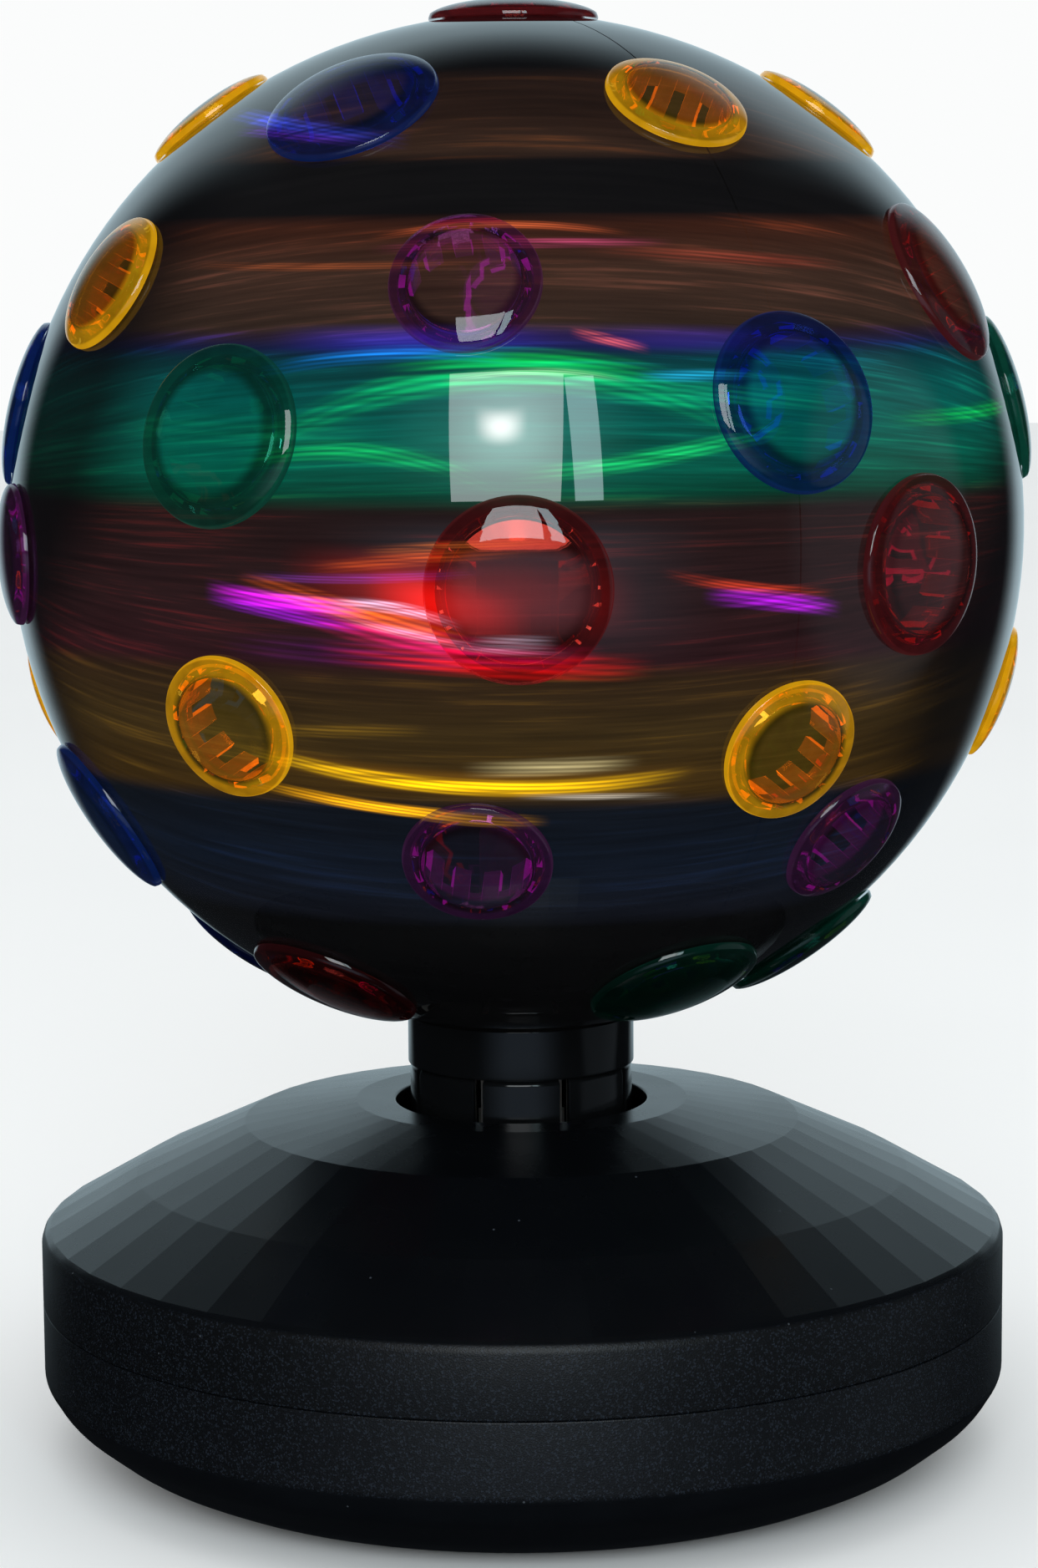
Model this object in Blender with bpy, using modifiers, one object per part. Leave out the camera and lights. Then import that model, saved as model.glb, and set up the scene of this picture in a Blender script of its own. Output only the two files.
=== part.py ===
"""LED disco ball lamp: a tinted globe with clipped-in lens caps turns on a low faceted base.

Run it with blender --background --python part.py. Metres, +Z up, origin at the middle of the
base's underside. Longitude 0 is the front, -Y, and grows towards the right, +X.
"""

import math

import bmesh
import bpy
from mathutils import Matrix

# Gaps and overruns
FIT_GAP = 0.0003
RUNNING_GAP = 0.0005
SEAM_GAP = 0.0003
CUT_OVERRUN = 0.003
MERGE_DISTANCE = 0.000001
SHARP_DEGREES = 35.0

# Base: outline, from the feet up
BASE_RADIUS = 0.0971
FOOT_PROUD = 0.0010
FOOT_EDGE_INSET = 0.0201
UNDERCUT_RISE = 0.0048
UNDERCUT_INSET = 0.0121
TAPER_RISE = 0.0118
TAPER_INSET = 0.0033
RIM_START_RISE = 0.0172
TRAY_DEPTH = 0.0311
COVER_RIM = 0.0139
EDGE_ROUND = 0.0016
OUTER_RING_RISE = 0.0110
MIDDLE_RING_RISE = 0.0100
INNER_RING_RISE = 0.0038
OUTER_RING_SHARE = 0.803
MIDDLE_RING_SHARE = 0.577
LAND_WIDTH = 0.0081
HOLE_CLEARANCE = 0.0026
SHELL_WALL = 0.0024
COVER_HAUNCH = 0.0029
LIP_WALL = 0.0014
LIP_RISE = 0.0025
FACETS = 48

# Base: rubber ring under the tray
FOOT_RING_INSET = 0.0070
FOOT_RING_WIDTH = 0.0060
FOOT_RING_SEAT = 0.0009

# Base: screw posts
SCREW_CIRCLE_SHARE = 0.618
SCREW_POSTS = 4
POST_RADIUS = 0.0042
SCREW_BORE = 0.0016
SCREW_CORE = 0.0013
TRAY_POST_RISE = 0.0200

# Neck and globe
COLLAR_RADIUS = 0.0228
COLLAR_CLEARANCE = 0.0077
COLLAR_BAND = 0.0100
COLLAR_WALL = 0.0016
FINGER_STEP = 0.0004
FINGER_LENGTH = 0.0200
FINGER_HOOK = 0.0013
HOOK_RISE = 0.0020
BEAD_HEIGHT = 0.0016
FINGER_SLOT = 0.0020
FINGERS = 8
SHELF_WIDTH = 0.0020
SHELF_HEIGHT = 0.0012
GLOBE_RADIUS = 0.1000
GLOBE_WALL = 0.0022
SPIGOT_LENGTH = 0.0075
SEAM_LONGITUDE = 30.0
GLOBE_STEPS = 32
GLOBE_BANDS = 15

# Lens caps
CAP_RADII = {"big": 0.0166, "small": 0.0136}
CAP_RISE = 0.0034
CAP_EDGE = 0.0009
CAP_SKIN = 0.0020
CAP_SKIRT_LENGTH = 0.0052
CAP_SKIRT_WALL = 0.0013
CAP_STEPS = 10
CAP_SKIRT_SHARE = 0.66
CAP_SHOULDER_SHARES = (0.82, 0.57)

# Corners round the other turned pieces
ROD_STEPS = 12
NECK_STEPS = 32
TUBE_STEPS = 20

# Turntable gear and pinion
GEAR_TEETH = 36
PINION_TEETH = 12
GEAR_MODULE = 0.0016
PRESSURE_ANGLE = 20.0
GEAR_BACKLASH = 0.00035
TIP_SHARE = 0.80
ROOT_SHARE = 1.10
GEAR_THICKNESS = 0.0052
HUB_WALL = 0.0016
BOSS_WALL = 0.0045
WASHER_THICKNESS = 0.0012

# Motor
MOTOR_RADIUS = 0.0150
MOTOR_HEIGHT = 0.0150
SHAFT_RADIUS = 0.0020
SHAFT_SEAT = 0.0050
EAR_REACH = 0.0200
EAR_WIDTH = 0.0090
EAR_THICKNESS = 0.0020

# Lamp post and light
POST_TUBE_RADIUS = 0.0082
POST_TUBE_WALL = 0.0018
POST_FLANGE_THICKNESS = 0.0020
LIGHT_DROP = 0.0040
BOARD_RADIUS = 0.0140
BOARD_THICKNESS = 0.0016
WIRE_HOLE_RADIUS = 0.0030
DOME_WALL = 0.0012
DOME_RISE = 0.0210
DOME_STRAIGHT = 0.0070
DOME_BANDS = 3

# Driver board on four studs
DRIVER_SIZE = (0.0440, 0.0280)
DRIVER_DISTANCE_SHARE = 0.515
STUD_RADIUS = 0.0022
STUD_RISE = 0.0050
STUD_INSET = 0.0035
CAPACITOR_RADIUS = 0.0040
CAPACITOR_HEIGHT = 0.0120
CAPACITOR_PLACE = (-0.0028, 0.0056)
CHOKE_SIZE = (0.0110, 0.0110, 0.0085)
CHOKE_PLACE = (0.0110, 0)
PLUG_SIZE = (0.0060, 0.0120, 0.0070)
PLUG_PLACE = (-0.0147, 0)

# Rear fittings
FITTING_HEIGHT = 0.0246
INLET_FLANGE_RADIUS = 0.0056
INLET_FLANGE = 0.0012
INLET_RADIUS = 0.0042
INLET_LENGTH = 0.0130
INLET_BORE_RADIUS = 0.0033
INLET_BORE_DEPTH = 0.0095
INLET_PIN_RADIUS = 0.0010
INLET_PIN_RECESS = 0.0052
SWITCH_LONGITUDE = -156.0
SWITCH_BODY = (0.0138, 0.0110, 0.0088)
SWITCH_BEZEL = 0.0012
SWITCH_BEZEL_PROUD = 0.0012
SWITCH_WALL = 0.0008
SWITCH_FLOOR = 0.0020
ROCKER_LENGTH = 0.0106
ROCKER_DEPTH = 0.0056
ROCKER_END_RISE = 0.0016
ROCKER_DIP = 0.0009
ROCKER_PIVOT_DEPTH = 0.0014
ROCKER_THROW = 8.0
BLADE_SIZE = (0.0030, 0.0060, 0.0008)
BLADE_SPACING = 0.0069

# Rows of caps: name, then each cap's latitude, longitude and colour, going round towards the
# right. Where the photograph shows a cap, it has the place that it has there
CAP_ROWS = (
    ("a", (53.5, 30.0, "amber"), (53.5, 90.0, "amber"), (53.5, 150.0, "blue"),
     (53.5, 210.0, "magenta"), (53.5, 270.0, "amber"), (53.5, 330.0, "blue")),
    ("b", (28.6, -5.7, "magenta"), (28.6, 65.5, "red"), (28.5, 122.0, "amber"),
     (28.5, 180.0, "magenta"), (28.5, 240.0, "red"), (29.0, 300.9, "amber")),
    ("c", (15.5, 30.7, "blue"), (14.5, 90.0, "green"), (14.5, 150.0, "blue"),
     (14.5, 210.0, "green"), (14.5, 270.0, "blue"), (12.4, 327.2, "green")),
    ("d", (-2.9, 0.1, "red"), (-1.9, 47.4, "red"), (-2.0, 113.0, "magenta"),
     (-2.9, 180.0, "red"), (-2.0, 231.0, "red"), (-1.7, 285.6, "magenta")),
    ("e", (-20.8, 31.3, "amber"), (-19.5, 90.0, "amber"), (-19.5, 150.0, "amber"),
     (-19.5, 210.0, "amber"), (-19.5, 262.0, "amber"), (-17.8, 327.0, "amber")),
    ("f", (-33.3, -5.2, "magenta"), (-33.1, 46.0, "magenta"), (-33.0, 110.0, "blue"),
     (-33.0, 170.0, "magenta"), (-33.0, 230.0, "blue"), (-32.7, 288.4, "blue")),
    ("g", (-57.4, 33.0, "green"), (-55.0, 78.0, "green"), (-57.0, 144.0, "blue"),
     (-57.0, 210.0, "red"), (-57.0, 262.0, "blue"), (-58.3, 317.0, "red")),
)
TOP_CAP_COLOUR = "red"
CAP_COLOURS = {
    "red": ((0.45, 0.01, 0.01), "big"),
    "blue": ((0.01, 0.03, 0.35), "big"),
    "green": ((0.00, 0.20, 0.14), "big"),
    "amber": ((0.85, 0.42, 0.00), "small"),
    "magenta": ((0.35, 0.01, 0.35), "small"),
}

# Radii that the sizes above lead to
FOOT_EDGE_RADIUS = BASE_RADIUS - FOOT_EDGE_INSET
UNDERCUT_RADIUS = BASE_RADIUS - UNDERCUT_INSET
TAPER_RADIUS = BASE_RADIUS - TAPER_INSET
OUTER_RING_RADIUS = BASE_RADIUS * OUTER_RING_SHARE
MIDDLE_RING_RADIUS = BASE_RADIUS * MIDDLE_RING_SHARE
HOLE_RADIUS = COLLAR_RADIUS + HOLE_CLEARANCE
LAND_RADIUS = HOLE_RADIUS + LAND_WIDTH
FOOT_RING_RADIUS = FOOT_EDGE_RADIUS - FOOT_RING_INSET
SCREW_CIRCLE = BASE_RADIUS * SCREW_CIRCLE_SHARE
DRIVER_DISTANCE = BASE_RADIUS * DRIVER_DISTANCE_SHARE
FINGER_RADIUS = COLLAR_RADIUS - FINGER_STEP
HOOK_RADIUS = FINGER_RADIUS + FINGER_HOOK
PITCH_RADIUS = GEAR_MODULE * GEAR_TEETH / 2
PINION_PITCH_RADIUS = GEAR_MODULE * PINION_TEETH / 2
MOTOR_X = PITCH_RADIUS + PINION_PITCH_RADIUS
GEAR_BORE = POST_TUBE_RADIUS + RUNNING_GAP
BOSS_RADIUS = POST_TUBE_RADIUS + FIT_GAP + BOSS_WALL
FLANGE_RADIUS = BOARD_RADIUS + FIT_GAP + DOME_WALL

# Heights that they lead to
TRAY_FLOOR_Z = FOOT_PROUD + SHELL_WALL
SEAM_Z = FOOT_PROUD + TRAY_DEPTH
COVER_EDGE_Z = SEAM_Z + COVER_RIM
OUTER_RING_Z = COVER_EDGE_Z + OUTER_RING_RISE
MIDDLE_RING_Z = OUTER_RING_Z + MIDDLE_RING_RISE
LAND_Z = MIDDLE_RING_Z + INNER_RING_RISE
COLLAR_Z = LAND_Z + COLLAR_CLEARANCE
COLLAR_TOP_Z = COLLAR_Z + COLLAR_BAND
GLOBE_Z = COLLAR_TOP_Z + FIT_GAP + math.sqrt(GLOBE_RADIUS**2 - COLLAR_RADIUS**2)
FINGER_FOOT_Z = COLLAR_Z - FINGER_LENGTH
HUB_TOP_Z = FINGER_FOOT_Z + HOOK_RISE + SHELL_WALL + FIT_GAP
MOTOR_Z = TRAY_FLOOR_Z + FIT_GAP
GEAR_Z = MOTOR_Z + MOTOR_HEIGHT + RUNNING_GAP + EAR_THICKNESS
BOSS_TOP_Z = GEAR_Z - 2 * FIT_GAP - WASHER_THICKNESS
FLANGE_TOP_Z = GLOBE_Z - LIGHT_DROP


def new_material(name, colour, roughness, transmission=0.0):
    material = bpy.data.materials.new(name)
    material.use_nodes = True
    shader = material.node_tree.nodes["Principled BSDF"]
    shader.inputs["Base Color"].default_value = (*colour, 1)
    shader.inputs["Roughness"].default_value = roughness
    shader.inputs["Metallic"].default_value = 0
    shader.inputs["Transmission Weight"].default_value = transmission
    material.diffuse_color = (*colour, 1)
    return material


def new_object(name, mesh, collection, material=None):
    made = bpy.data.objects.new(name, mesh)
    collection.objects.link(made)
    if material:
        mesh.materials.append(material)
    return made


def add_turned(name, outline, steps, collection, material=None, degrees=360.0, smooth=True):
    """A profile in the XZ plane, turned about Z. A closed outline is a ring; one that starts and
    ends on the axis is a solid of revolution."""
    mesh = bpy.data.meshes.new(name)
    edges = [(i, i + 1) for i in range(len(outline) - 1)]
    on_axis = outline[0][0] == 0 and outline[-1][0] == 0
    if degrees == 360.0 and not on_axis:
        edges.append((len(outline) - 1, 0))
    mesh.from_pydata([(radius, 0, height) for radius, height in outline], edges, [])
    turned = new_object(name, mesh, collection, material)
    screw = turned.modifiers.new("turn", "SCREW")
    screw.angle = math.radians(degrees)
    screw.steps = steps
    screw.render_steps = steps
    screw.use_smooth_shade = smooth
    screw.use_merge_vertices = True
    screw.merge_threshold = MERGE_DISTANCE
    return turned


def baked(turned):
    """The object with its modifiers applied, so that its mesh can be joined or shaded."""
    graph = bpy.context.evaluated_depsgraph_get()
    mesh = bpy.data.meshes.new_from_object(turned.evaluated_get(graph))
    turned.modifiers.clear()
    turned.data = mesh
    return turned


def smooth_round_faces(made):
    made.data.shade_smooth()
    made.data.set_sharp_from_angle(angle=math.radians(SHARP_DEGREES))
    return made


def add_blocks(name, blocks, collection, material=None):
    """One mesh of separate boxes, each given by its size and its matrix."""
    shape = bmesh.new()
    for size, place in blocks:
        bmesh.ops.create_cube(shape, size=1, matrix=place @ Matrix.Diagonal((*size, 1)))
    mesh = bpy.data.meshes.new(name)
    shape.to_mesh(mesh)
    shape.free()
    return new_object(name, mesh, collection, material)


def add_rods(name, rods, steps, collection, material=None):
    """One mesh of separate round rods, each given by its radius, its length and its middle's matrix.
    A rod's first corner is on +X, as a turned shape's is."""
    shape = bmesh.new()
    start = Matrix.Rotation(math.radians(-90.0), 4, "Z")
    for radius, length, place in rods:
        bmesh.ops.create_cone(
            shape,
            cap_ends=True,
            segments=steps,
            radius1=radius,
            radius2=radius,
            depth=length,
            matrix=place @ start,
        )
    mesh = bpy.data.meshes.new(name)
    shape.to_mesh(mesh)
    shape.free()
    return new_object(name, mesh, collection, material)


def add_plate(name, outline, low, high, collection, material=None):
    """A flat outline filled and extruded from one height to another."""
    curve = bpy.data.curves.new(name, "CURVE")
    curve.dimensions = "2D"
    curve.fill_mode = "BOTH"
    curve.extrude = (high - low) / 2
    spline = curve.splines.new("POLY")
    spline.points.add(len(outline) - 1)
    for point, (x, y) in zip(spline.points, outline):
        point.co = (x, y, 0, 1)
    spline.use_cyclic_u = True
    drawn = bpy.data.objects.new(name, curve)
    collection.objects.link(drawn)
    graph = bpy.context.evaluated_depsgraph_get()
    mesh = bpy.data.meshes.new_from_object(drawn.evaluated_get(graph))
    collection.objects.unlink(drawn)
    bpy.data.objects.remove(drawn)
    shape = bmesh.new()
    shape.from_mesh(mesh)
    bmesh.ops.remove_doubles(shape, verts=shape.verts, dist=MERGE_DISTANCE)
    bmesh.ops.translate(shape, verts=shape.verts, vec=(0, 0, (low + high) / 2))
    shape.to_mesh(mesh)
    shape.free()
    return new_object(name, mesh, collection, material)


def shape_with(target, other, operation):
    """Cuts the other object from the target or joins it, and hides the other."""
    step = target.modifiers.new(other.name, "BOOLEAN")
    step.operation = operation
    step.solver = "EXACT"
    step.object = other
    other.hide_render = True
    other.display_type = "WIRE"
    return target


def up_to(height):
    return Matrix.Translation((0, 0, height))


def around(longitude):
    """Turns a piece drawn at the front, on -Y, round to a longitude."""
    return Matrix.Rotation(math.radians(longitude), 4, "Z")


def on_globe(latitude, longitude):
    """The frame of a cap: its origin at the globe's centre and its Z axis out through the cap."""
    tilt = Matrix.Rotation(math.radians(90.0 - latitude), 4, "X")
    return up_to(GLOBE_Z) @ around(longitude) @ tilt


def globe_height(radius):
    """Height of the globe's outside above its centre plane, this far from the axis."""
    return math.sqrt(GLOBE_RADIUS**2 - radius**2)


def skirt_radius(size):
    return CAP_RADII[size] * CAP_SKIRT_SHARE


def cap_places():
    """Every cap: name, latitude, longitude and colour."""
    yield "lens_cap_top", 90.0, 0.0, TOP_CAP_COLOUR
    for row, *caps in CAP_ROWS:
        for number, (latitude, longitude, colour) in enumerate(caps, 1):
            yield f"lens_cap_{row}{number}", latitude, longitude, colour


def cap_outline(size):
    """A shallow dome with a thin rounded flange that lies on the globe, and a hollow snap skirt."""
    radius = CAP_RADII[size]
    outer_share, height_share = CAP_SHOULDER_SHARES
    skirt = skirt_radius(size)
    bore = skirt - CAP_SKIRT_WALL
    skirt_foot = GLOBE_RADIUS - GLOBE_WALL - CAP_SKIRT_LENGTH
    crown = GLOBE_RADIUS + CAP_RISE
    edge = globe_height(radius) + FIT_GAP
    return [
        (0, crown),
        (radius * outer_share, edge + CAP_EDGE + (crown - edge - CAP_EDGE) * height_share),
        (radius, edge + CAP_EDGE),
        (radius, edge),
        (skirt, globe_height(skirt) + FIT_GAP),
        (skirt, skirt_foot),
        (bore, skirt_foot),
        (bore, crown - CAP_SKIN),
        (0, crown - CAP_SKIN),
    ]


def build_caps(parts):
    """All caps of one size and colour share a mesh."""
    meshes = {}
    for name, latitude, longitude, colour in cap_places():
        tint, size = CAP_COLOURS[colour]
        if colour not in meshes:
            material = new_material(f"tinted_{colour}_acrylic", tint, 0.05, transmission=1.0)
            first = add_turned(name, cap_outline(size), CAP_STEPS, parts, material)
            cap = smooth_round_faces(baked(first))
            meshes[colour] = cap.data
        else:
            cap = new_object(name, meshes[colour], parts)
        cap.matrix_world = on_globe(latitude, longitude)


def globe_outline():
    """Section of the whole shell: down the outside from the top cap's hole to the foot of the
    neck spigot, and back up the inside."""
    hole = skirt_radius(CAP_COLOURS[TOP_CAP_COLOUR][1]) + FIT_GAP
    spigot = COLLAR_RADIUS - COLLAR_WALL - FIT_GAP
    foot = GLOBE_Z - globe_height(spigot) - SPIGOT_LENGTH
    points = []
    for radius, neck in ((GLOBE_RADIUS, spigot), (GLOBE_RADIUS - GLOBE_WALL, spigot - GLOBE_WALL)):
        top = math.asin(hole / radius)
        bottom = math.pi - math.asin(neck / radius)
        side = []
        for band in range(GLOBE_BANDS + 1):
            angle = top + (bottom - top) * band / GLOBE_BANDS
            side.append((radius * math.sin(angle), GLOBE_Z + radius * math.cos(angle)))
        side.append((neck, foot))
        points += side if radius == GLOBE_RADIUS else side[::-1]
    return points


def build_globe(parts, cutters):
    """Two half shells with half spigots, parted at the seam and bored for the caps' skirts."""
    smoke = new_material("smoke_tinted_acrylic", (0.02, 0.02, 0.022), 0.04, transmission=0.8)
    rods = []
    for name, latitude, longitude, colour in cap_places():
        if name == "lens_cap_top":
            continue
        length = GLOBE_WALL + 2 * CUT_OVERRUN
        middle = up_to(GLOBE_RADIUS - GLOBE_WALL / 2)
        hole = skirt_radius(CAP_COLOURS[colour][1]) + FIT_GAP
        rods.append((hole, length, on_globe(latitude, longitude) @ middle))
    holes = add_rods("cap_holes", rods, CAP_STEPS, cutters)
    reach = 2 * (GLOBE_RADIUS + CUT_OVERRUN)
    seam_step = 180.0 / GLOBE_STEPS
    for name, side in (("globe_half_right", 1), ("globe_half_left", -1)):
        half = baked(add_turned(name, globe_outline(), GLOBE_STEPS, parts, smoke))
        half.data.transform(around(SEAM_LONGITUDE + seam_step + 90.0))
        middle = Matrix.Translation((side * (SEAM_GAP - reach) / 2, 0, GLOBE_Z))
        block = ((reach, reach, reach + 2 * SPIGOT_LENGTH), around(SEAM_LONGITUDE) @ middle)
        shape_with(half, add_blocks(f"{name}_side", [block], cutters), "DIFFERENCE")
        shape_with(half, holes, "DIFFERENCE")
        smooth_round_faces(half)


def build_collar(parts, cutters):
    """Black collar: it clamps the globe's spigots and clips into the turntable with eight fingers."""
    material = new_material("gloss_black_abs", (0.012, 0.012, 0.013), 0.12)
    inside = COLLAR_RADIUS - COLLAR_WALL
    finger_inside = FINGER_RADIUS - COLLAR_WALL
    shelf = inside - SHELF_WIDTH
    bead = HUB_TOP_Z + FIT_GAP
    outline = [
        (inside, GLOBE_Z - globe_height(inside) - FIT_GAP - GLOBE_WALL),
        (COLLAR_RADIUS, COLLAR_TOP_Z),
        (COLLAR_RADIUS, COLLAR_Z),
        (FINGER_RADIUS, COLLAR_Z),
        (FINGER_RADIUS, bead + BEAD_HEIGHT),
        (HOOK_RADIUS, bead + BEAD_HEIGHT / 2),
        (HOOK_RADIUS, bead),
        (FINGER_RADIUS, bead),
        (FINGER_RADIUS, FINGER_FOOT_Z + HOOK_RISE),
        (HOOK_RADIUS, FINGER_FOOT_Z + HOOK_RISE),
        (FINGER_RADIUS, FINGER_FOOT_Z),
        (finger_inside, FINGER_FOOT_Z),
        (finger_inside, COLLAR_Z),
        (shelf, COLLAR_Z),
        (shelf, COLLAR_Z + SHELF_HEIGHT),
        (inside, COLLAR_Z + SHELF_HEIGHT),
    ]
    collar = baked(add_turned("neck_collar", outline, NECK_STEPS, parts, material))
    height = COLLAR_Z - FINGER_FOOT_Z
    reach = 2 * (COLLAR_WALL + CUT_OVERRUN)
    blocks = []
    for finger in range(FINGERS):
        turn = around((finger + 1 / 2) * 360.0 / FINGERS)
        middle = (0, -FINGER_RADIUS, FINGER_FOOT_Z + (height - CUT_OVERRUN) / 2)
        size = (FINGER_SLOT, reach, height + CUT_OVERRUN)
        blocks.append((size, turn @ Matrix.Translation(middle)))
    slots = add_blocks("finger_slots", blocks, cutters)
    shape_with(collar, slots, "DIFFERENCE")
    smooth_round_faces(collar)


def involute_angle(radius, base_radius):
    if radius <= base_radius:
        return 0.0
    pressure = math.acos(base_radius / radius)
    return math.tan(pressure) - pressure


def gear_outline(teeth, turn_degrees=0.0):
    """Involute stub teeth, thinned by the backlash, with the first tooth on +X."""
    pitch = GEAR_MODULE * teeth / 2
    base = pitch * math.cos(math.radians(PRESSURE_ANGLE))
    radii = (pitch - ROOT_SHARE * GEAR_MODULE, pitch, pitch + TIP_SHARE * GEAR_MODULE)
    half_tooth = math.pi / (2 * teeth) - GEAR_BACKLASH / (4 * pitch)
    root = half_tooth + involute_angle(pitch, base)
    flank = [(radius, root - involute_angle(radius, base)) for radius in radii]
    tooth = [(radius, -angle) for radius, angle in flank]
    tooth += [(radius, angle) for radius, angle in reversed(flank)]
    points = []
    for number in range(teeth):
        centre = 2 * math.pi * number / teeth + math.radians(turn_degrees)
        for radius, angle in tooth:
            turn = centre + angle
            points.append((radius * math.cos(turn), radius * math.sin(turn)))
    return points


def build_gears(parts, cutters):
    """The turntable: a toothed disc with a tall hub that holds the collar's fingers."""
    acetal = new_material("white_acetal", (0.75, 0.74, 0.70), 0.4)
    top = GEAR_Z + GEAR_THICKNESS
    middle = GEAR_Z + GEAR_THICKNESS / 2
    wheel = add_plate("drive_gear", gear_outline(GEAR_TEETH), GEAR_Z, top, parts, acetal)
    cup = HOOK_RADIUS + FIT_GAP
    lip = FINGER_RADIUS + FIT_GAP
    ledge = FINGER_FOOT_Z + HOOK_RISE + FIT_GAP
    outline = [
        (lip, HUB_TOP_Z),
        (cup + HUB_WALL, HUB_TOP_Z),
        (cup + HUB_WALL, middle),
        (cup, middle),
        (cup, ledge),
        (lip, ledge),
    ]
    hub = baked(add_turned("gear_hub", outline, GEAR_TEETH, cutters))
    shape_with(wheel, hub, "UNION")
    length = GEAR_THICKNESS + 2 * CUT_OVERRUN
    rods = [(GEAR_BORE, length, up_to(middle))]
    bore = add_rods("gear_bore", rods, TUBE_STEPS, cutters)
    shape_with(wheel, bore, "DIFFERENCE")
    smooth_round_faces(wheel)

    half_pitch = 180.0 / PINION_TEETH
    outline = gear_outline(PINION_TEETH, half_pitch)
    pinion = add_plate("motor_pinion", outline, GEAR_Z, top, parts, acetal)
    foot = MOTOR_Z + MOTOR_HEIGHT - SHAFT_SEAT + FIT_GAP
    length = middle - foot
    rods = [(SHAFT_RADIUS, length, up_to(foot + length / 2))]
    shaft = add_rods("pinion_shaft", rods, ROD_STEPS, cutters)
    shape_with(pinion, shaft, "UNION")
    pinion.location.x = MOTOR_X
    shaft.location.x = MOTOR_X

    outer = BOSS_RADIUS - FIT_GAP
    low = BOSS_TOP_Z + FIT_GAP
    high = low + WASHER_THICKNESS
    nylon = new_material("natural_nylon", (0.80, 0.78, 0.70), 0.5)
    ring = [(GEAR_BORE, high), (outer, high), (outer, low), (GEAR_BORE, low)]
    add_turned("thrust_washer", ring, TUBE_STEPS, parts, nylon)


def build_motor(parts, cutters):
    """A flat gear motor with two ears and a bore for the pinion's shaft."""
    steel = new_material("zinc_plated_steel", (0.55, 0.56, 0.58), 0.3)
    middle = Matrix.Translation((MOTOR_X, 0, MOTOR_Z + MOTOR_HEIGHT / 2))
    motor = add_rods("motor", [(MOTOR_RADIUS, MOTOR_HEIGHT, middle)], TUBE_STEPS, parts, steel)
    ear_z = MOTOR_Z + MOTOR_HEIGHT / 2
    strap = (EAR_WIDTH, 2 * EAR_REACH, EAR_THICKNESS)
    blocks = [(strap, Matrix.Translation((MOTOR_X, 0, ear_z)))]
    shape_with(motor, add_blocks("motor_ears", blocks, cutters), "UNION")
    depth = SHAFT_SEAT + CUT_OVERRUN
    seat = Matrix.Translation((MOTOR_X, 0, MOTOR_Z + MOTOR_HEIGHT - SHAFT_SEAT + depth / 2))
    bore = add_rods("shaft_bore", [(SHAFT_RADIUS + FIT_GAP, depth, seat)], ROD_STEPS, cutters)
    shape_with(motor, bore, "DIFFERENCE")
    smooth_round_faces(motor)


def screw_post_places():
    for number in range(SCREW_POSTS):
        turn = around((number + 1 / 2) * 360.0 / SCREW_POSTS)
        yield turn @ Matrix.Translation((0, -SCREW_CIRCLE, 0))


def on_board(place, height):
    x, y = place
    return Matrix.Translation((x - DRIVER_DISTANCE, y, height))


def driver_stud_places():
    across = DRIVER_SIZE[0] / 2 - STUD_INSET
    along = DRIVER_SIZE[1] / 2 - STUD_INSET
    for x in (-across, across):
        for y in (-along, along):
            yield on_board((x, y), 0)


def wall_frame(longitude):
    """The frame of a rear fitting: origin on the tray's outside, +Y pointing out of the wall."""
    out = BASE_RADIUS * math.cos(math.pi / FACETS)
    return around(longitude + 180.0) @ Matrix.Translation((0, out, FITTING_HEIGHT))


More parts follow.
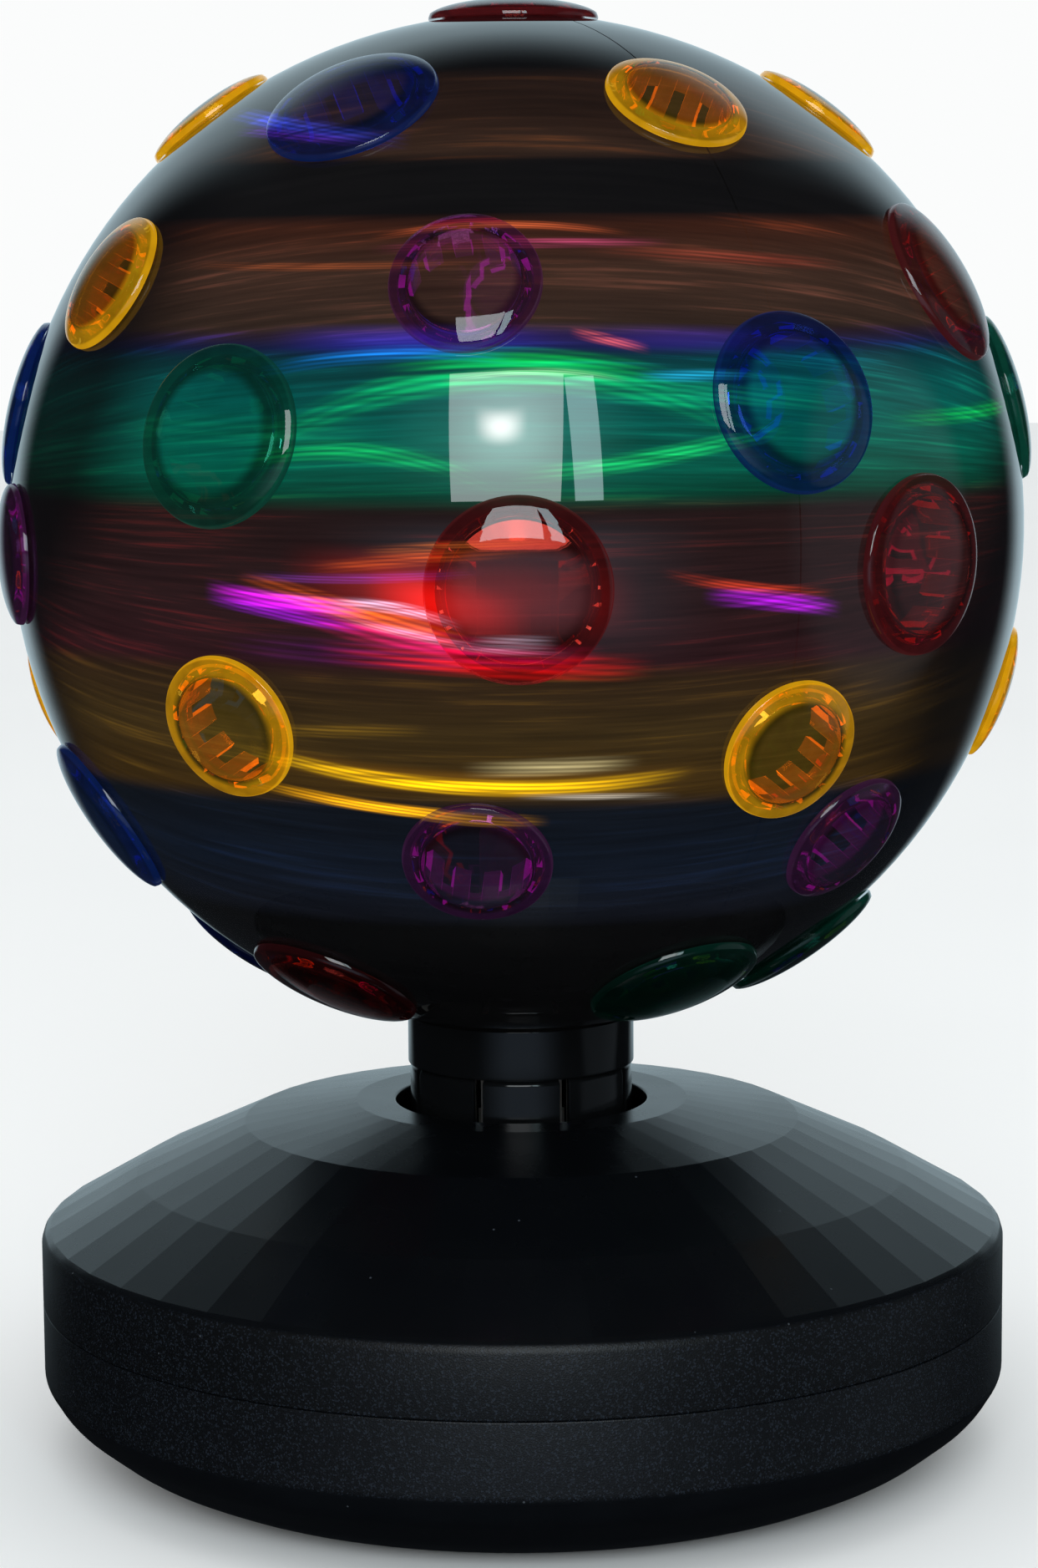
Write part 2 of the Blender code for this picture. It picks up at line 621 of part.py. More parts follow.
def build_tray(parts, cutters):
    """The tray: grained rim, undercut foot, post boss, screw posts, motor posts and board studs."""
    material = new_material("grained_black_abs", (0.02, 0.021, 0.024), 0.5)
    under = FOOT_PROUD
    rim_inside = BASE_RADIUS - SHELL_WALL
    lip = rim_inside + LIP_WALL - FIT_GAP
    ring_low = FOOT_RING_RADIUS - FOOT_RING_WIDTH / 2 - FIT_GAP
    ring_high = FOOT_RING_RADIUS + FOOT_RING_WIDTH / 2 + FIT_GAP
    bore = POST_TUBE_RADIUS + FIT_GAP
    outline = [
        (0, TRAY_FLOOR_Z),
        (bore, TRAY_FLOOR_Z),
        (bore, BOSS_TOP_Z),
        (BOSS_RADIUS, BOSS_TOP_Z),
        (BOSS_RADIUS, TRAY_FLOOR_Z),
        (FOOT_EDGE_RADIUS - SHELL_WALL, TRAY_FLOOR_Z),
        (TAPER_RADIUS - SHELL_WALL, TAPER_RISE + SHELL_WALL),
        (rim_inside, RIM_START_RISE + SHELL_WALL / 2),
        (rim_inside, SEAM_Z + LIP_RISE),
        (lip, SEAM_Z + LIP_RISE),
        (lip, SEAM_Z),
        (BASE_RADIUS, SEAM_Z),
        (BASE_RADIUS, RIM_START_RISE),
        (TAPER_RADIUS, TAPER_RISE),
        (UNDERCUT_RADIUS, UNDERCUT_RISE),
        (FOOT_EDGE_RADIUS, under),
        (ring_high, under),
        (ring_high, under + FOOT_RING_SEAT),
        (ring_low, under + FOOT_RING_SEAT),
        (ring_low, under),
        (0, under),
    ]
    tray = baked(add_turned("base_tray", outline, FACETS, parts, material))

    rods = []
    root = TRAY_FLOOR_Z - SHELL_WALL / 2
    for place in screw_post_places():
        length = TRAY_POST_RISE + SHELL_WALL / 2
        rods.append((POST_RADIUS, length, place @ up_to(root + length / 2)))
    for place in driver_stud_places():
        length = STUD_RISE + SHELL_WALL / 2
        rods.append((STUD_RADIUS, length, place @ up_to(root + length / 2)))
    length = MOTOR_Z + MOTOR_HEIGHT / 2 - EAR_THICKNESS / 2 - FIT_GAP - root
    for side in (-1, 1):
        y = side * (MOTOR_RADIUS + EAR_REACH) / 2
        rods.append((STUD_RADIUS, length, Matrix.Translation((MOTOR_X, y, root + length / 2))))
    posts = add_rods("tray_posts", rods, ROD_STEPS, cutters)
    shape_with(tray, posts, "UNION")

    rods = []
    for place in screw_post_places():
        length = TRAY_POST_RISE + SHELL_WALL + 2 * CUT_OVERRUN
        rods.append((SCREW_BORE, length, place @ up_to(FOOT_PROUD - CUT_OVERRUN + length / 2)))
    inlet = wall_frame(180.0) @ Matrix.Rotation(math.radians(90.0), 4, "X")
    reach = 2 * (SHELL_WALL + CUT_OVERRUN)
    rods.append((INLET_RADIUS + FIT_GAP, reach, inlet))
    bores = add_rods("tray_bores", rods, ROD_STEPS, cutters)
    shape_with(tray, bores, "DIFFERENCE")
    width, _, height = SWITCH_BODY
    opening = (width + 2 * FIT_GAP, reach, height + 2 * FIT_GAP)
    wire_gate = (2 * BOSS_WALL, 2 * WIRE_HOLE_RADIUS, 2 * WIRE_HOLE_RADIUS)
    gate = Matrix.Translation((-BOSS_RADIUS, 0, TRAY_FLOOR_Z + STUD_RISE))
    blocks = [(opening, wall_frame(SWITCH_LONGITUDE)), (wire_gate, gate)]
    shape_with(tray, add_blocks("tray_windows", blocks, cutters), "DIFFERENCE")
    smooth_round_faces(tray)


def build_foot_ring(parts):
    rubber = new_material("black_rubber", (0.015, 0.015, 0.015), 0.8)
    inner = FOOT_RING_RADIUS - FOOT_RING_WIDTH / 2
    outer = FOOT_RING_RADIUS + FOOT_RING_WIDTH / 2
    high = FOOT_PROUD + FOOT_RING_SEAT - FIT_GAP
    ring = [(inner, high), (outer, high), (outer, 0), (inner, 0)]
    add_turned("foot_ring", ring, FACETS, parts, rubber)


def cover_outside():
    """The cover's outside from the neck's hole to the seam."""
    return [
        (HOLE_RADIUS, LAND_Z),
        (LAND_RADIUS, LAND_Z),
        (MIDDLE_RING_RADIUS, MIDDLE_RING_Z),
        (OUTER_RING_RADIUS, OUTER_RING_Z),
        (BASE_RADIUS - EDGE_ROUND, COVER_EDGE_Z + EDGE_ROUND),
        (BASE_RADIUS, COVER_EDGE_Z),
        (BASE_RADIUS, SEAM_Z + FIT_GAP),
    ]


def cover_height(radius):
    """Height of the cover's outside this far from the axis."""
    points = cover_outside()
    for (near, high), (far, low) in zip(points, points[1:]):
        if near <= radius < far:
            return high + (low - high) * (radius - near) / (far - near)
    return COVER_EDGE_Z


def build_cover(parts, cutters):
    """The polished cover: three rings of flat facets, a flat land and the neck's hole."""
    material = new_material("polished_black_abs", (0.010, 0.011, 0.012), 0.06)
    rim_inside = BASE_RADIUS - SHELL_WALL + LIP_WALL
    outline = cover_outside() + [
        (rim_inside, SEAM_Z + FIT_GAP),
        (rim_inside, COVER_EDGE_Z - SHELL_WALL / 2),
        (OUTER_RING_RADIUS, OUTER_RING_Z - COVER_HAUNCH),
        (MIDDLE_RING_RADIUS, MIDDLE_RING_Z - SHELL_WALL),
        (LAND_RADIUS, LAND_Z - SHELL_WALL),
        (HOLE_RADIUS, LAND_Z - SHELL_WALL),
    ]
    cover = baked(add_turned("base_cover", outline, FACETS, parts, material, smooth=False))
    foot = TRAY_FLOOR_Z + TRAY_POST_RISE + FIT_GAP
    length = cover_height(SCREW_CIRCLE + POST_RADIUS) - SHELL_WALL / 2 - foot
    middle = up_to(foot + length / 2)
    rods = [(POST_RADIUS, length, place @ middle) for place in screw_post_places()]
    shape_with(cover, add_rods("cover_posts", rods, ROD_STEPS, cutters), "UNION")
    depth = length - 2 * SHELL_WALL + CUT_OVERRUN
    middle = up_to(foot - CUT_OVERRUN + depth / 2)
    rods = [(SCREW_CORE, depth, place @ middle) for place in screw_post_places()]
    shape_with(cover, add_rods("cover_bores", rods, ROD_STEPS, cutters), "DIFFERENCE")


def build_light(parts, cutters):
    """The fixed post, the LED board on its flange and the clear dome round the board."""
    tube = new_material("white_abs", (0.8, 0.8, 0.8), 0.3)
    foot = TRAY_FLOOR_Z + FIT_GAP
    bore = POST_TUBE_RADIUS - POST_TUBE_WALL
    outline = [
        (bore, FLANGE_TOP_Z),
        (FLANGE_RADIUS, FLANGE_TOP_Z),
        (FLANGE_RADIUS, FLANGE_TOP_Z - POST_FLANGE_THICKNESS),
        (POST_TUBE_RADIUS, FLANGE_TOP_Z - POST_FLANGE_THICKNESS),
        (POST_TUBE_RADIUS, foot),
        (bore, foot),
    ]
    post = baked(add_turned("lamp_post", outline, TUBE_STEPS, parts, tube))
    gate = Matrix.Translation((-POST_TUBE_RADIUS, 0, TRAY_FLOOR_Z + STUD_RISE))
    size = (2 * POST_TUBE_WALL + CUT_OVERRUN, 2 * WIRE_HOLE_RADIUS, 2 * WIRE_HOLE_RADIUS)
    shape_with(post, add_blocks("post_wire_gate", [(size, gate)], cutters), "DIFFERENCE")
    smooth_round_faces(post)

    board = new_material("white_solder_mask", (0.85, 0.86, 0.84), 0.4)
    low = FLANGE_TOP_Z + FIT_GAP
    high = low + BOARD_THICKNESS
    hole = WIRE_HOLE_RADIUS
    disc = [(hole, high), (BOARD_RADIUS, high), (BOARD_RADIUS, low), (hole, low)]
    add_turned("led_board", disc, TUBE_STEPS, parts, board)

    clear = new_material("clear_polycarbonate", (0.95, 0.95, 0.95), 0.1, transmission=1.0)
    outer = FLANGE_RADIUS
    inner = outer - DOME_WALL
    spring = low + DOME_STRAIGHT
    rise = DOME_RISE - DOME_STRAIGHT
    outside = []
    inside = []
    for band in range(DOME_BANDS + 1):
        angle = math.pi / 2 * band / DOME_BANDS
        across = math.sin(angle)
        up = math.cos(angle)
        outside.append((outer * across, spring + rise * up))
        inside.append((inner * across, spring + (rise - DOME_WALL) * up))
    profile = outside + [(outer, low), (inner, low)] + inside[::-1]
    add_turned("led_cover", profile, TUBE_STEPS, parts, clear)


def build_driver(parts, cutters):
    """The driver board with its capacitor, choke and plug."""
    green = new_material("green_solder_mask", (0.02, 0.16, 0.06), 0.4)
    root = TRAY_FLOOR_Z + STUD_RISE + FIT_GAP + BOARD_THICKNESS / 2
    plate = (*DRIVER_SIZE, BOARD_THICKNESS)
    board = add_blocks("driver_board", [(plate, on_board((0, 0), root))], parts, green)
    blocks = []
    for size, place in ((CHOKE_SIZE, CHOKE_PLACE), (PLUG_SIZE, PLUG_PLACE)):
        blocks.append((size, on_board(place, root + size[2] / 2)))
    shape_with(board, add_blocks("driver_blocks", blocks, cutters), "UNION")
    middle = on_board(CAPACITOR_PLACE, root + CAPACITOR_HEIGHT / 2)
    rods = [(CAPACITOR_RADIUS, CAPACITOR_HEIGHT, middle)]
    shape_with(board, add_rods("driver_capacitor", rods, ROD_STEPS, cutters), "UNION")


def build_inlet(parts):
    """Low-voltage inlet: a flanged barrel through the rear wall, with its pin recessed in the bore."""
    material = new_material("black_nylon", (0.015, 0.015, 0.015), 0.4)
    face = INLET_FLANGE + FIT_GAP
    outline = [
        (0, face - INLET_PIN_RECESS),
        (INLET_PIN_RADIUS, face - INLET_PIN_RECESS),
        (INLET_PIN_RADIUS, face - INLET_BORE_DEPTH),
        (INLET_BORE_RADIUS, face - INLET_BORE_DEPTH),
        (INLET_BORE_RADIUS, face),
        (INLET_FLANGE_RADIUS, face),
        (INLET_FLANGE_RADIUS, FIT_GAP),
        (INLET_RADIUS, FIT_GAP),
        (INLET_RADIUS, -INLET_LENGTH),
        (0, -INLET_LENGTH),
    ]
    inlet = add_turned("dc_inlet", outline, ROD_STEPS, parts, material)
    inlet.matrix_world = wall_frame(180.0) @ Matrix.Rotation(math.radians(-90.0), 4, "X")


def build_switch(parts, cutters):
    """Rocker switch: a bezelled box through the wall, and a rocker on an upright pivot."""
    black = new_material("matt_black_nylon", (0.02, 0.02, 0.02), 0.45)
    width, depth, height = SWITCH_BODY
    frame = wall_frame(SWITCH_LONGITUDE)
    back = -depth + SWITCH_BEZEL_PROUD
    body = ((width, depth, height), frame @ Matrix.Translation((0, back + depth / 2, 0)))
    housing = add_blocks("switch_housing", [body], parts, black)
    bezel_size = (width + 2 * SWITCH_BEZEL, SWITCH_BEZEL_PROUD - FIT_GAP, height + 2 * SWITCH_BEZEL)
    bezel_place = frame @ Matrix.Translation((0, FIT_GAP + bezel_size[1] / 2, 0))
    shape_with(housing, add_blocks("switch_bezel", [(bezel_size, bezel_place)], cutters), "UNION")
    cavity_depth = depth - SWITCH_FLOOR + CUT_OVERRUN
    cavity_size = (width - 2 * SWITCH_WALL, cavity_depth, height - 2 * SWITCH_WALL)
    cavity_place = frame @ Matrix.Translation((0, back + SWITCH_FLOOR + cavity_depth / 2, 0))
    cavity = add_blocks("switch_cavity", [(cavity_size, cavity_place)], cutters)
    shape_with(housing, cavity, "DIFFERENCE")
    blades = []
    for side in (-1, 1):
        middle = (side * BLADE_SPACING / 2, back + (SWITCH_FLOOR - BLADE_SIZE[1]) / 2, 0)
        blades.append((BLADE_SIZE, frame @ Matrix.Translation(middle)))
    shape_with(housing, add_blocks("switch_blades", blades, cutters), "UNION")

    end = ROCKER_LENGTH / 2
    half = height / 2 - SWITCH_WALL - FIT_GAP
    outline = [
        (-end, -ROCKER_DEPTH / 2),
        (0, -ROCKER_DEPTH),
        (end, -ROCKER_DEPTH / 2),
        (end, ROCKER_END_RISE),
        (0, ROCKER_END_RISE - ROCKER_DIP),
        (-end, ROCKER_END_RISE),
    ]
    rocker = add_plate("power_switch", outline, -half, half, parts, black)
    pivot = bpy.data.objects.new("switch_pivot", None)
    parts.objects.link(pivot)
    inset = SWITCH_BEZEL_PROUD - ROCKER_PIVOT_DEPTH
    pivot.matrix_world = frame @ Matrix.Translation((0, inset, 0))
    rocker.parent = pivot
    rocker.rotation_euler.z = math.radians(-ROCKER_THROW)


def build():
    for old in list(bpy.data.objects):
        bpy.data.objects.remove(old)
    scene = bpy.context.scene.collection
    parts = bpy.data.collections.new("led_disco_ball_light")
    cutters = bpy.data.collections.new("cutters")
    scene.children.link(parts)
    scene.children.link(cutters)
    build_tray(parts, cutters)
    build_foot_ring(parts)
    build_cover(parts, cutters)
    build_light(parts, cutters)
    build_driver(parts, cutters)
    build_inlet(parts)
    build_switch(parts, cutters)
    build_motor(parts, cutters)
    build_gears(parts, cutters)
    build_collar(parts, cutters)
    build_globe(parts, cutters)
    build_caps(parts)


build()
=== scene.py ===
"""LED disco ball lamp: a smoke globe with tinted lens caps turns on a low faceted black base.

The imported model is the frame. Every piece is in metres, in the frame's own coordinates: +Z is
up, the origin is the middle of the underside, and longitude 0 is the front, -Y.
"""

import math
from functools import partial

import bmesh
import bpy
from mathutils import Matrix, Vector


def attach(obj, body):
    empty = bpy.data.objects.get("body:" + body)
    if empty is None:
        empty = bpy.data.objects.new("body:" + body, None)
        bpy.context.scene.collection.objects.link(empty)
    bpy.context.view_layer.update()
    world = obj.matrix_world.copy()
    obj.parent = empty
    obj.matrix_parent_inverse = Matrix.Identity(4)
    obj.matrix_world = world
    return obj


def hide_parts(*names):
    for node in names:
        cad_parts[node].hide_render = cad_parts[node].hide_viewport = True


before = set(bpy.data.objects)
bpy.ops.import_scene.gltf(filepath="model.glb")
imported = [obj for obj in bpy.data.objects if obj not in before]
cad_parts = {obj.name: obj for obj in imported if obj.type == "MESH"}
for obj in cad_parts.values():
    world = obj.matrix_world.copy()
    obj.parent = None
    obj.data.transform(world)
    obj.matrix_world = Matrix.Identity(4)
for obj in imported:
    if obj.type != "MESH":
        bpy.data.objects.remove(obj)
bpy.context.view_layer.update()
MM = 0.001

# Studio. A pale floor in a white surround, one tall window in front of the lamp with a narrow
# side light beside it, and a bright backdrop that only grazing reflections reach. The camera
# stands 752 mm from the lamp's axis, as high as in the photograph, looking a little down.
PHOTO_SIZE = (1243, 1877)
FOCAL_PIXELS = 4528.07
SENSOR_WIDTH = 36.0
CAMERA_DISTANCE = 752.5 * MM
CAMERA_HEIGHT = 231.83 * MM
CAMERA_PITCH = 7.364
CAMERA_ROLL = 0.43
WINDOW_DISTANCE = 1.7
WINDOW_AIM_Z = 186 * MM
FLOOR_HALF = 6.0
FLOOR_DROP = 0.2 * MM
SURROUND = "#fbfcfc"
PANELS = {
    # azimuth and elevation in degrees, width and height in metres, radiance, tint
    "window_softbox": (-2.3, 22.3, 0.70, 0.82, 6.4, "#f0f7fb"),
    "window_side_strip": (15.2, 21.5, 0.18, 0.78, 6.6, "#d8f4fb"),
}
ROOM_DARK = "#1c1f23"
ROOM_LIGHTS = (
    # veil, table and backdrop: a colour, then for each edge where it begins and where it is full
    ("#6c757d", ("right", 0.86, 0.93), ("up", 0.7, 0.55), ("up", -0.6, -0.4)),
    ("#a3b6cc", ("aside", 0.75, 0.15), ("back", -0.5, -0.8), ("up", 0.12, 0.0), ("up", -0.5, -0.25)),
    ("#c4dce6", ("aside", 0.62, 0.38), ("back", 0.0, 0.4), ("up", 0.82, 0.52), ("up", -0.32, -0.12)),
)
TRAPPED_DARK = "#060708"
TRAPPED_SHARE = 0.9
EASED = {"interpolation_type": "SMOOTHSTEP"}
# a mix of colours takes its share as input 0 and the two colours as inputs 6 and 7
COLOUR_MIX = {"data_type": "RGBA", "output": 2}


def linear(code):
    """An sRGB hex colour as linear red, green, blue and full alpha."""
    shares = [int(code[i : i + 2], 16) / 255 for i in (1, 3, 5)]
    return [s / 12.92 if s <= 0.04045 else ((s + 0.055) / 1.055) ** 2.4 for s in shares] + [1.0]


def add_node(tree, kind, inputs=(), output=0, **settings):
    """Adds a shader node, makes its settings and fills its inputs, by name or in their order: a
    socket is linked, a hex colour is turned to linear, any other value is set. Returns an output."""
    made = tree.nodes.new(f"ShaderNode{kind}")
    for name, value in settings.items():
        setattr(made, name, value)
    for name, value in inputs.items() if isinstance(inputs, dict) else enumerate(inputs):
        if isinstance(value, bpy.types.NodeSocket):
            tree.links.new(value, made.inputs[name])
        else:
            made.inputs[name].default_value = linear(value) if isinstance(value, str) else value
    return made.outputs[output] if made.outputs else None


def new_finish(name, settings):
    """A material, its shader with constants in the shader's own sockets, and add_node for its
    tree. A glow is only seen, so no light is sampled from it."""
    material = bpy.data.materials.new(name)
    material.use_nodes = True
    shader = material.node_tree.nodes["Principled BSDF"]
    for socket, value in settings.items():
        shader.inputs[socket].default_value = value
    if "Emission Strength" in settings:
        material.cycles.emission_sampling = "NONE"
    return material, shader, partial(add_node, material.node_tree)


def wire(shader, results):
    """Links each result to the shader's socket of its name."""
    for socket, result in results.items():
        shader.id_data.links.new(result, shader.inputs[socket])


def put_in(name, data):
    """Puts a mesh, a light or a camera into the scene as an object."""
    made = bpy.data.objects.new(name, data)
    bpy.context.scene.collection.objects.link(made)
    return made


def place_stage_camera():
    data = bpy.data.cameras.new("studio_camera")
    data.sensor_width = SENSOR_WIDTH
    data.lens = FOCAL_PIXELS * SENSOR_WIDTH / max(PHOTO_SIZE)
    camera = put_in("studio_camera", data)
    stand = Matrix.Translation((0, -CAMERA_DISTANCE, CAMERA_HEIGHT))
    tilt = Matrix.Rotation(math.radians(90.0 - CAMERA_PITCH), 4, "X")
    roll = Matrix.Rotation(math.radians(-CAMERA_ROLL), 4, "Z")
    camera.matrix_world = stand @ tilt @ roll
    bpy.context.scene.camera = camera


def light_world():
    """White to the eye and for matt surfaces. Reflections see a dark room with a bright backdrop
    behind the lamp, a dim veil at the right and a little light from the table in front. Light
    trapped in clear plastic sees almost none of it."""
    world = bpy.data.worlds.new("studio")
    bpy.context.scene.world = world
    world.use_nodes = True
    world.node_tree.nodes.clear()
    node = partial(add_node, world.node_tree)
    right, back, up = node("SeparateXYZ", (node("TexCoord", output="Generated"),)).node.outputs
    aside = node("Math", (right,), operation="ABSOLUTE")
    ways = {"right": right, "aside": aside, "back": back, "up": up}
    room = ROOM_DARK
    for colour, *edges in ROOM_LIGHTS:
        share = 1.0
        for way, start, full in edges:
            edge = node("MapRange", (ways[way], start, full), **EASED)
            share = node("Math", (share, edge), operation="MULTIPLY")
        room = node("Mix", {0: share, 6: room, 7: colour}, **COLOUR_MIX)
    rays = node("LightPath").node.outputs
    trapped = node("Math", (rays["Is Transmission Ray"], TRAPPED_SHARE), operation="MULTIPLY")
    room = node("Mix", {0: trapped, 6: room, 7: TRAPPED_DARK}, **COLOUR_MIX)
    pale = node("Math", (rays["Is Camera Ray"], rays["Is Diffuse Ray"]), operation="MAXIMUM")
    shown = node("Mix", {0: pale, 6: room, 7: SURROUND}, **COLOUR_MIX)
    node("OutputWorld", {"Surface": node("Background", {"Color": shown})})


def hang_panel(name, azimuth, elevation, width, height, radiance, tint):
    """A soft rectangular light that faces the globe. Azimuth 0 is the front, 90 the right."""
    data = bpy.data.lights.new(name, "AREA")
    data.shape = "RECTANGLE"
    data.size, data.size_y = width, height
    data.energy = radiance * math.pi * width * height
    data.color = linear(tint)[:3]
    panel = put_in(name, data)
    a, e = math.radians(azimuth), math.radians(elevation)
    out = Vector((math.sin(a) * math.cos(e), -math.cos(a) * math.cos(e), math.sin(e)))
    panel.location = Vector((0, 0, WINDOW_AIM_Z)) + out * WINDOW_DISTANCE
    panel.rotation_euler = out.to_track_quat("Z", "Y").to_euler()
    panel.visible_camera = False


place_stage_camera()
light_world()
for name, values in PANELS.items():
    hang_panel(name, *values)
bpy.context.scene.view_settings.view_transform = "Standard"

floor_mesh = bpy.data.meshes.new("pale_floor")
corners = [(x * FLOOR_HALF, y * FLOOR_HALF, 0) for x, y in ((-1, -1), (1, -1), (1, 1), (-1, 1))]
floor_mesh.from_pydata(corners, [], [(0, 1, 2, 3)])
floor = put_in("pale_floor", floor_mesh)
floor.location.z = -FLOOR_DROP
floor.visible_glossy = False
floor.visible_transmission = False
paper, shader, node = new_finish("white_studio_paper", {"Roughness": 0.9})
fibres = node("TexNoise", {"Scale": 40.0, "Detail": 4.0})
wire(shader, {"Base Color": node("Mix", {0: fibres, 6: "#f4f5f5", 7: "#f8f9f9"}, **COLOUR_MIX)})
floor_mesh.materials.append(paper)

# Foot ring. An O-section band of black rubber pressed into the groove under the tray. It takes
# the load and keeps the lamp from sliding; moulded matt, with two fine grip grooves.
FOOT_RING_INNER = 67.0 * MM
FOOT_RING_OUTER = 73.0 * MM
FOOT_RING_TOP = 1.6 * MM
FOOT_RING_EDGE = 0.5 * MM
GRIP_OFFSET = 1.1 * MM
GRIP_HALF = 0.45 * MM
GRIP_DEPTH = 0.35 * MM
STEPS = 192
CORNER_STEPS = 4
CORNER_REACH = 0.45
WELD = 0.001 * MM
SLIVER = 0.0005 * MM


def eased(points, closed=True):
    """The outline with each corner that carries a radius rounded over a few short steps."""
    count = len(points)
    out = []
    for i, point in enumerate(points):
        radius = point[2] if len(point) > 2 else 0
        here = Vector(point[:2])
        if not radius or (not closed and i in (0, count - 1)):
            out.append(tuple(here))
            continue
        before = Vector(points[i - 1][:2]) - here
        after = Vector(points[(i + 1) % count][:2]) - here
        start = here + before.normalized() * min(radius, before.length * CORNER_REACH)
        end = here + after.normalized() * min(radius, after.length * CORNER_REACH)
        for part in range(CORNER_STEPS + 1):
            t = part / CORNER_STEPS
            out.append(tuple(start * (1 - t) ** 2 + here * 2 * t * (1 - t) + end * t * t))
    return out


def clean_up(mesh, slivers=True):
    """Joins a mesh's doubled points, drops its slivers and turns its faces outwards."""
    shape = bmesh.new()
    shape.from_mesh(mesh)
    bmesh.ops.remove_doubles(shape, verts=shape.verts, dist=WELD)
    if slivers:
        bmesh.ops.dissolve_degenerate(shape, edges=shape.edges, dist=SLIVER)
    bmesh.ops.recalc_face_normals(shape, faces=shape.faces)
    shape.to_mesh(mesh)
    shape.free()


def new_piece(name, verts, faces):
    mesh = bpy.data.meshes.new(name)
    mesh.from_pydata(verts, [], faces)
    clean_up(mesh)
    return put_in(name, mesh)


def turned(name, outline, steps=STEPS, reshape=None, closed=True, place=None):
    """A profile of radius and height turned about Z. An outline whose ends lie on the axis is a
    solid; any other is a closed ring. The reshape function moves a point by radius and angle."""
    rows = len(outline)
    verts = []
    for column in range(steps):
        angle = 2 * math.pi * column / steps
        for radius, height in outline:
            r, z = reshape(radius, height, angle) if reshape else (radius, height)
            verts.append(Vector((r * math.cos(angle), r * math.sin(angle), z)))
    faces = []
    for column in range(steps):
        a, b = column * rows, (column + 1) % steps * rows
        for low in range(rows if closed else rows - 1):
            high = (low + 1) % rows
            faces.append((a + low, b + low, b + high, a + high))
    if place:
        verts = [place @ point for point in verts]
    return new_piece(name, verts, faces)


def shade_round(made, sharp_degrees=32.0):
    made.data.shade_smooth()
    made.data.set_sharp_from_angle(angle=math.radians(sharp_degrees))


def finish_piece(made, material, body, nodes):
    """Gives a new piece its finish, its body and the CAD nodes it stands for."""
    if material:
        made.data.materials.append(material)
    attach(made, body)
    if nodes:
        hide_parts(*nodes)


def moulded(name, colours, roughness, cloud_mm, grain_mm, bump, settings=()):
    """A moulded finish: two shades in soft clouds, a roughness that wanders a little with them,
    and a fine grain. It serves the rubber, the nylons and the other plain mouldings."""
    material, shader, node = new_finish(name, dict(settings))
    place = node("TexCoord", output="Object")
    clouds = node("TexNoise", {"Vector": place, "Scale": 1 / (cloud_mm * MM), "Detail": 3.0})
    grain = node("TexNoise", {"Vector": place, "Scale": 1 / (grain_mm * MM), "Detail": 2.0})
    results = {
        "Base Color": node("Mix", {0: clouds, 6: colours[0], 7: colours[1]}, **COLOUR_MIX),
        "Roughness": node("MapRange", (clouds, 0, 1, roughness * 0.85, roughness * 1.15)),
        "Normal": node("Bump", {"Strength": bump, "Distance": 0.05 * MM, "Height": grain}),
    }
    wire(shader, results)
    return material


foot_middle = (FOOT_RING_INNER + FOOT_RING_OUTER) / 2
foot_outline = [
    (FOOT_RING_INNER, FOOT_RING_TOP),
    (FOOT_RING_OUTER, FOOT_RING_TOP),
    (FOOT_RING_OUTER, 0, FOOT_RING_EDGE),
]
for groove in (foot_middle + GRIP_OFFSET, foot_middle - GRIP_OFFSET):
    foot_outline += [(groove + GRIP_HALF, 0), (groove, GRIP_DEPTH, 0.2 * MM), (groove - GRIP_HALF, 0)]
foot_outline.append((FOOT_RING_INNER, 0, FOOT_RING_EDGE))
foot_ring = turned("foot_ring_rubber", eased(foot_outline))
shade_round(foot_ring, 40.0)
rubber = moulded("rubber_moulded_matt", ("#0c0c0c", "#161616"), 0.8, 12, 0.4, 0.4)
finish_piece(foot_ring, rubber, "base", ["foot_ring"])

# Base tray. The lower half of the base, moulded in black ABS: the vertical band is spark-eroded
# to a fine grain, and the taper and undercut below it are left smooth. A thin lip stands inside
# the seam, and inside are the post's boss, the screw posts and the studs.
BASE_RADIUS = 97.1 * MM
FACETS = 48
SEAM_Z = 32.1 * MM
GRAIN_FOOT_Z = 17.2 * MM
WALL = 2.4 * MM
UNDERSIDE_Z = 1.0 * MM
TRAY_FLOOR_Z = 3.4 * MM
TRAY_INNER = 94.7 * MM
LIP_OUTER = 95.8 * MM
LIP_TOP_Z = 34.6 * MM
RING_GROOVE_INNER = 66.7 * MM
RING_GROOVE_OUTER = 73.3 * MM
RING_GROOVE_TOP = 1.9 * MM
POST_BORE = 8.5 * MM
BOSS_RADIUS = 13.0 * MM
BOSS_TOP_Z = 19.4 * MM
SCREWS = 4
SCREW_CIRCLE = 60.0 * MM
SCREW_POST = 4.2 * MM
SCREW_POST_TOP_Z = 23.4 * MM
SCREW_HOLE = 1.6 * MM
COUNTERBORE = 3.1 * MM
COUNTERBORE_Z = 4.2 * MM
POST_FOOT_Z = 2.2 * MM
STUD = 2.2 * MM
STUDS = (
    # x, distance to either side and top: two for the motor and four for the driver board
    (38.4 * MM, 17.5 * MM, 9.9 * MM),
    (-31.5 * MM, 10.5 * MM, 8.4 * MM),
    (-68.5 * MM, 10.5 * MM, 8.4 * MM),
)
PLUG_RADIUS = POST_BORE + 0.2 * MM
BORE_FOOT_Z = -1 * MM
BORE_TOP_Z = 27 * MM
FITTING_Z = 24.6 * MM
THROUGH_WALL = 12 * MM
INLET_HOLE = 4.5 * MM
INLET_LONGITUDE = 180.0
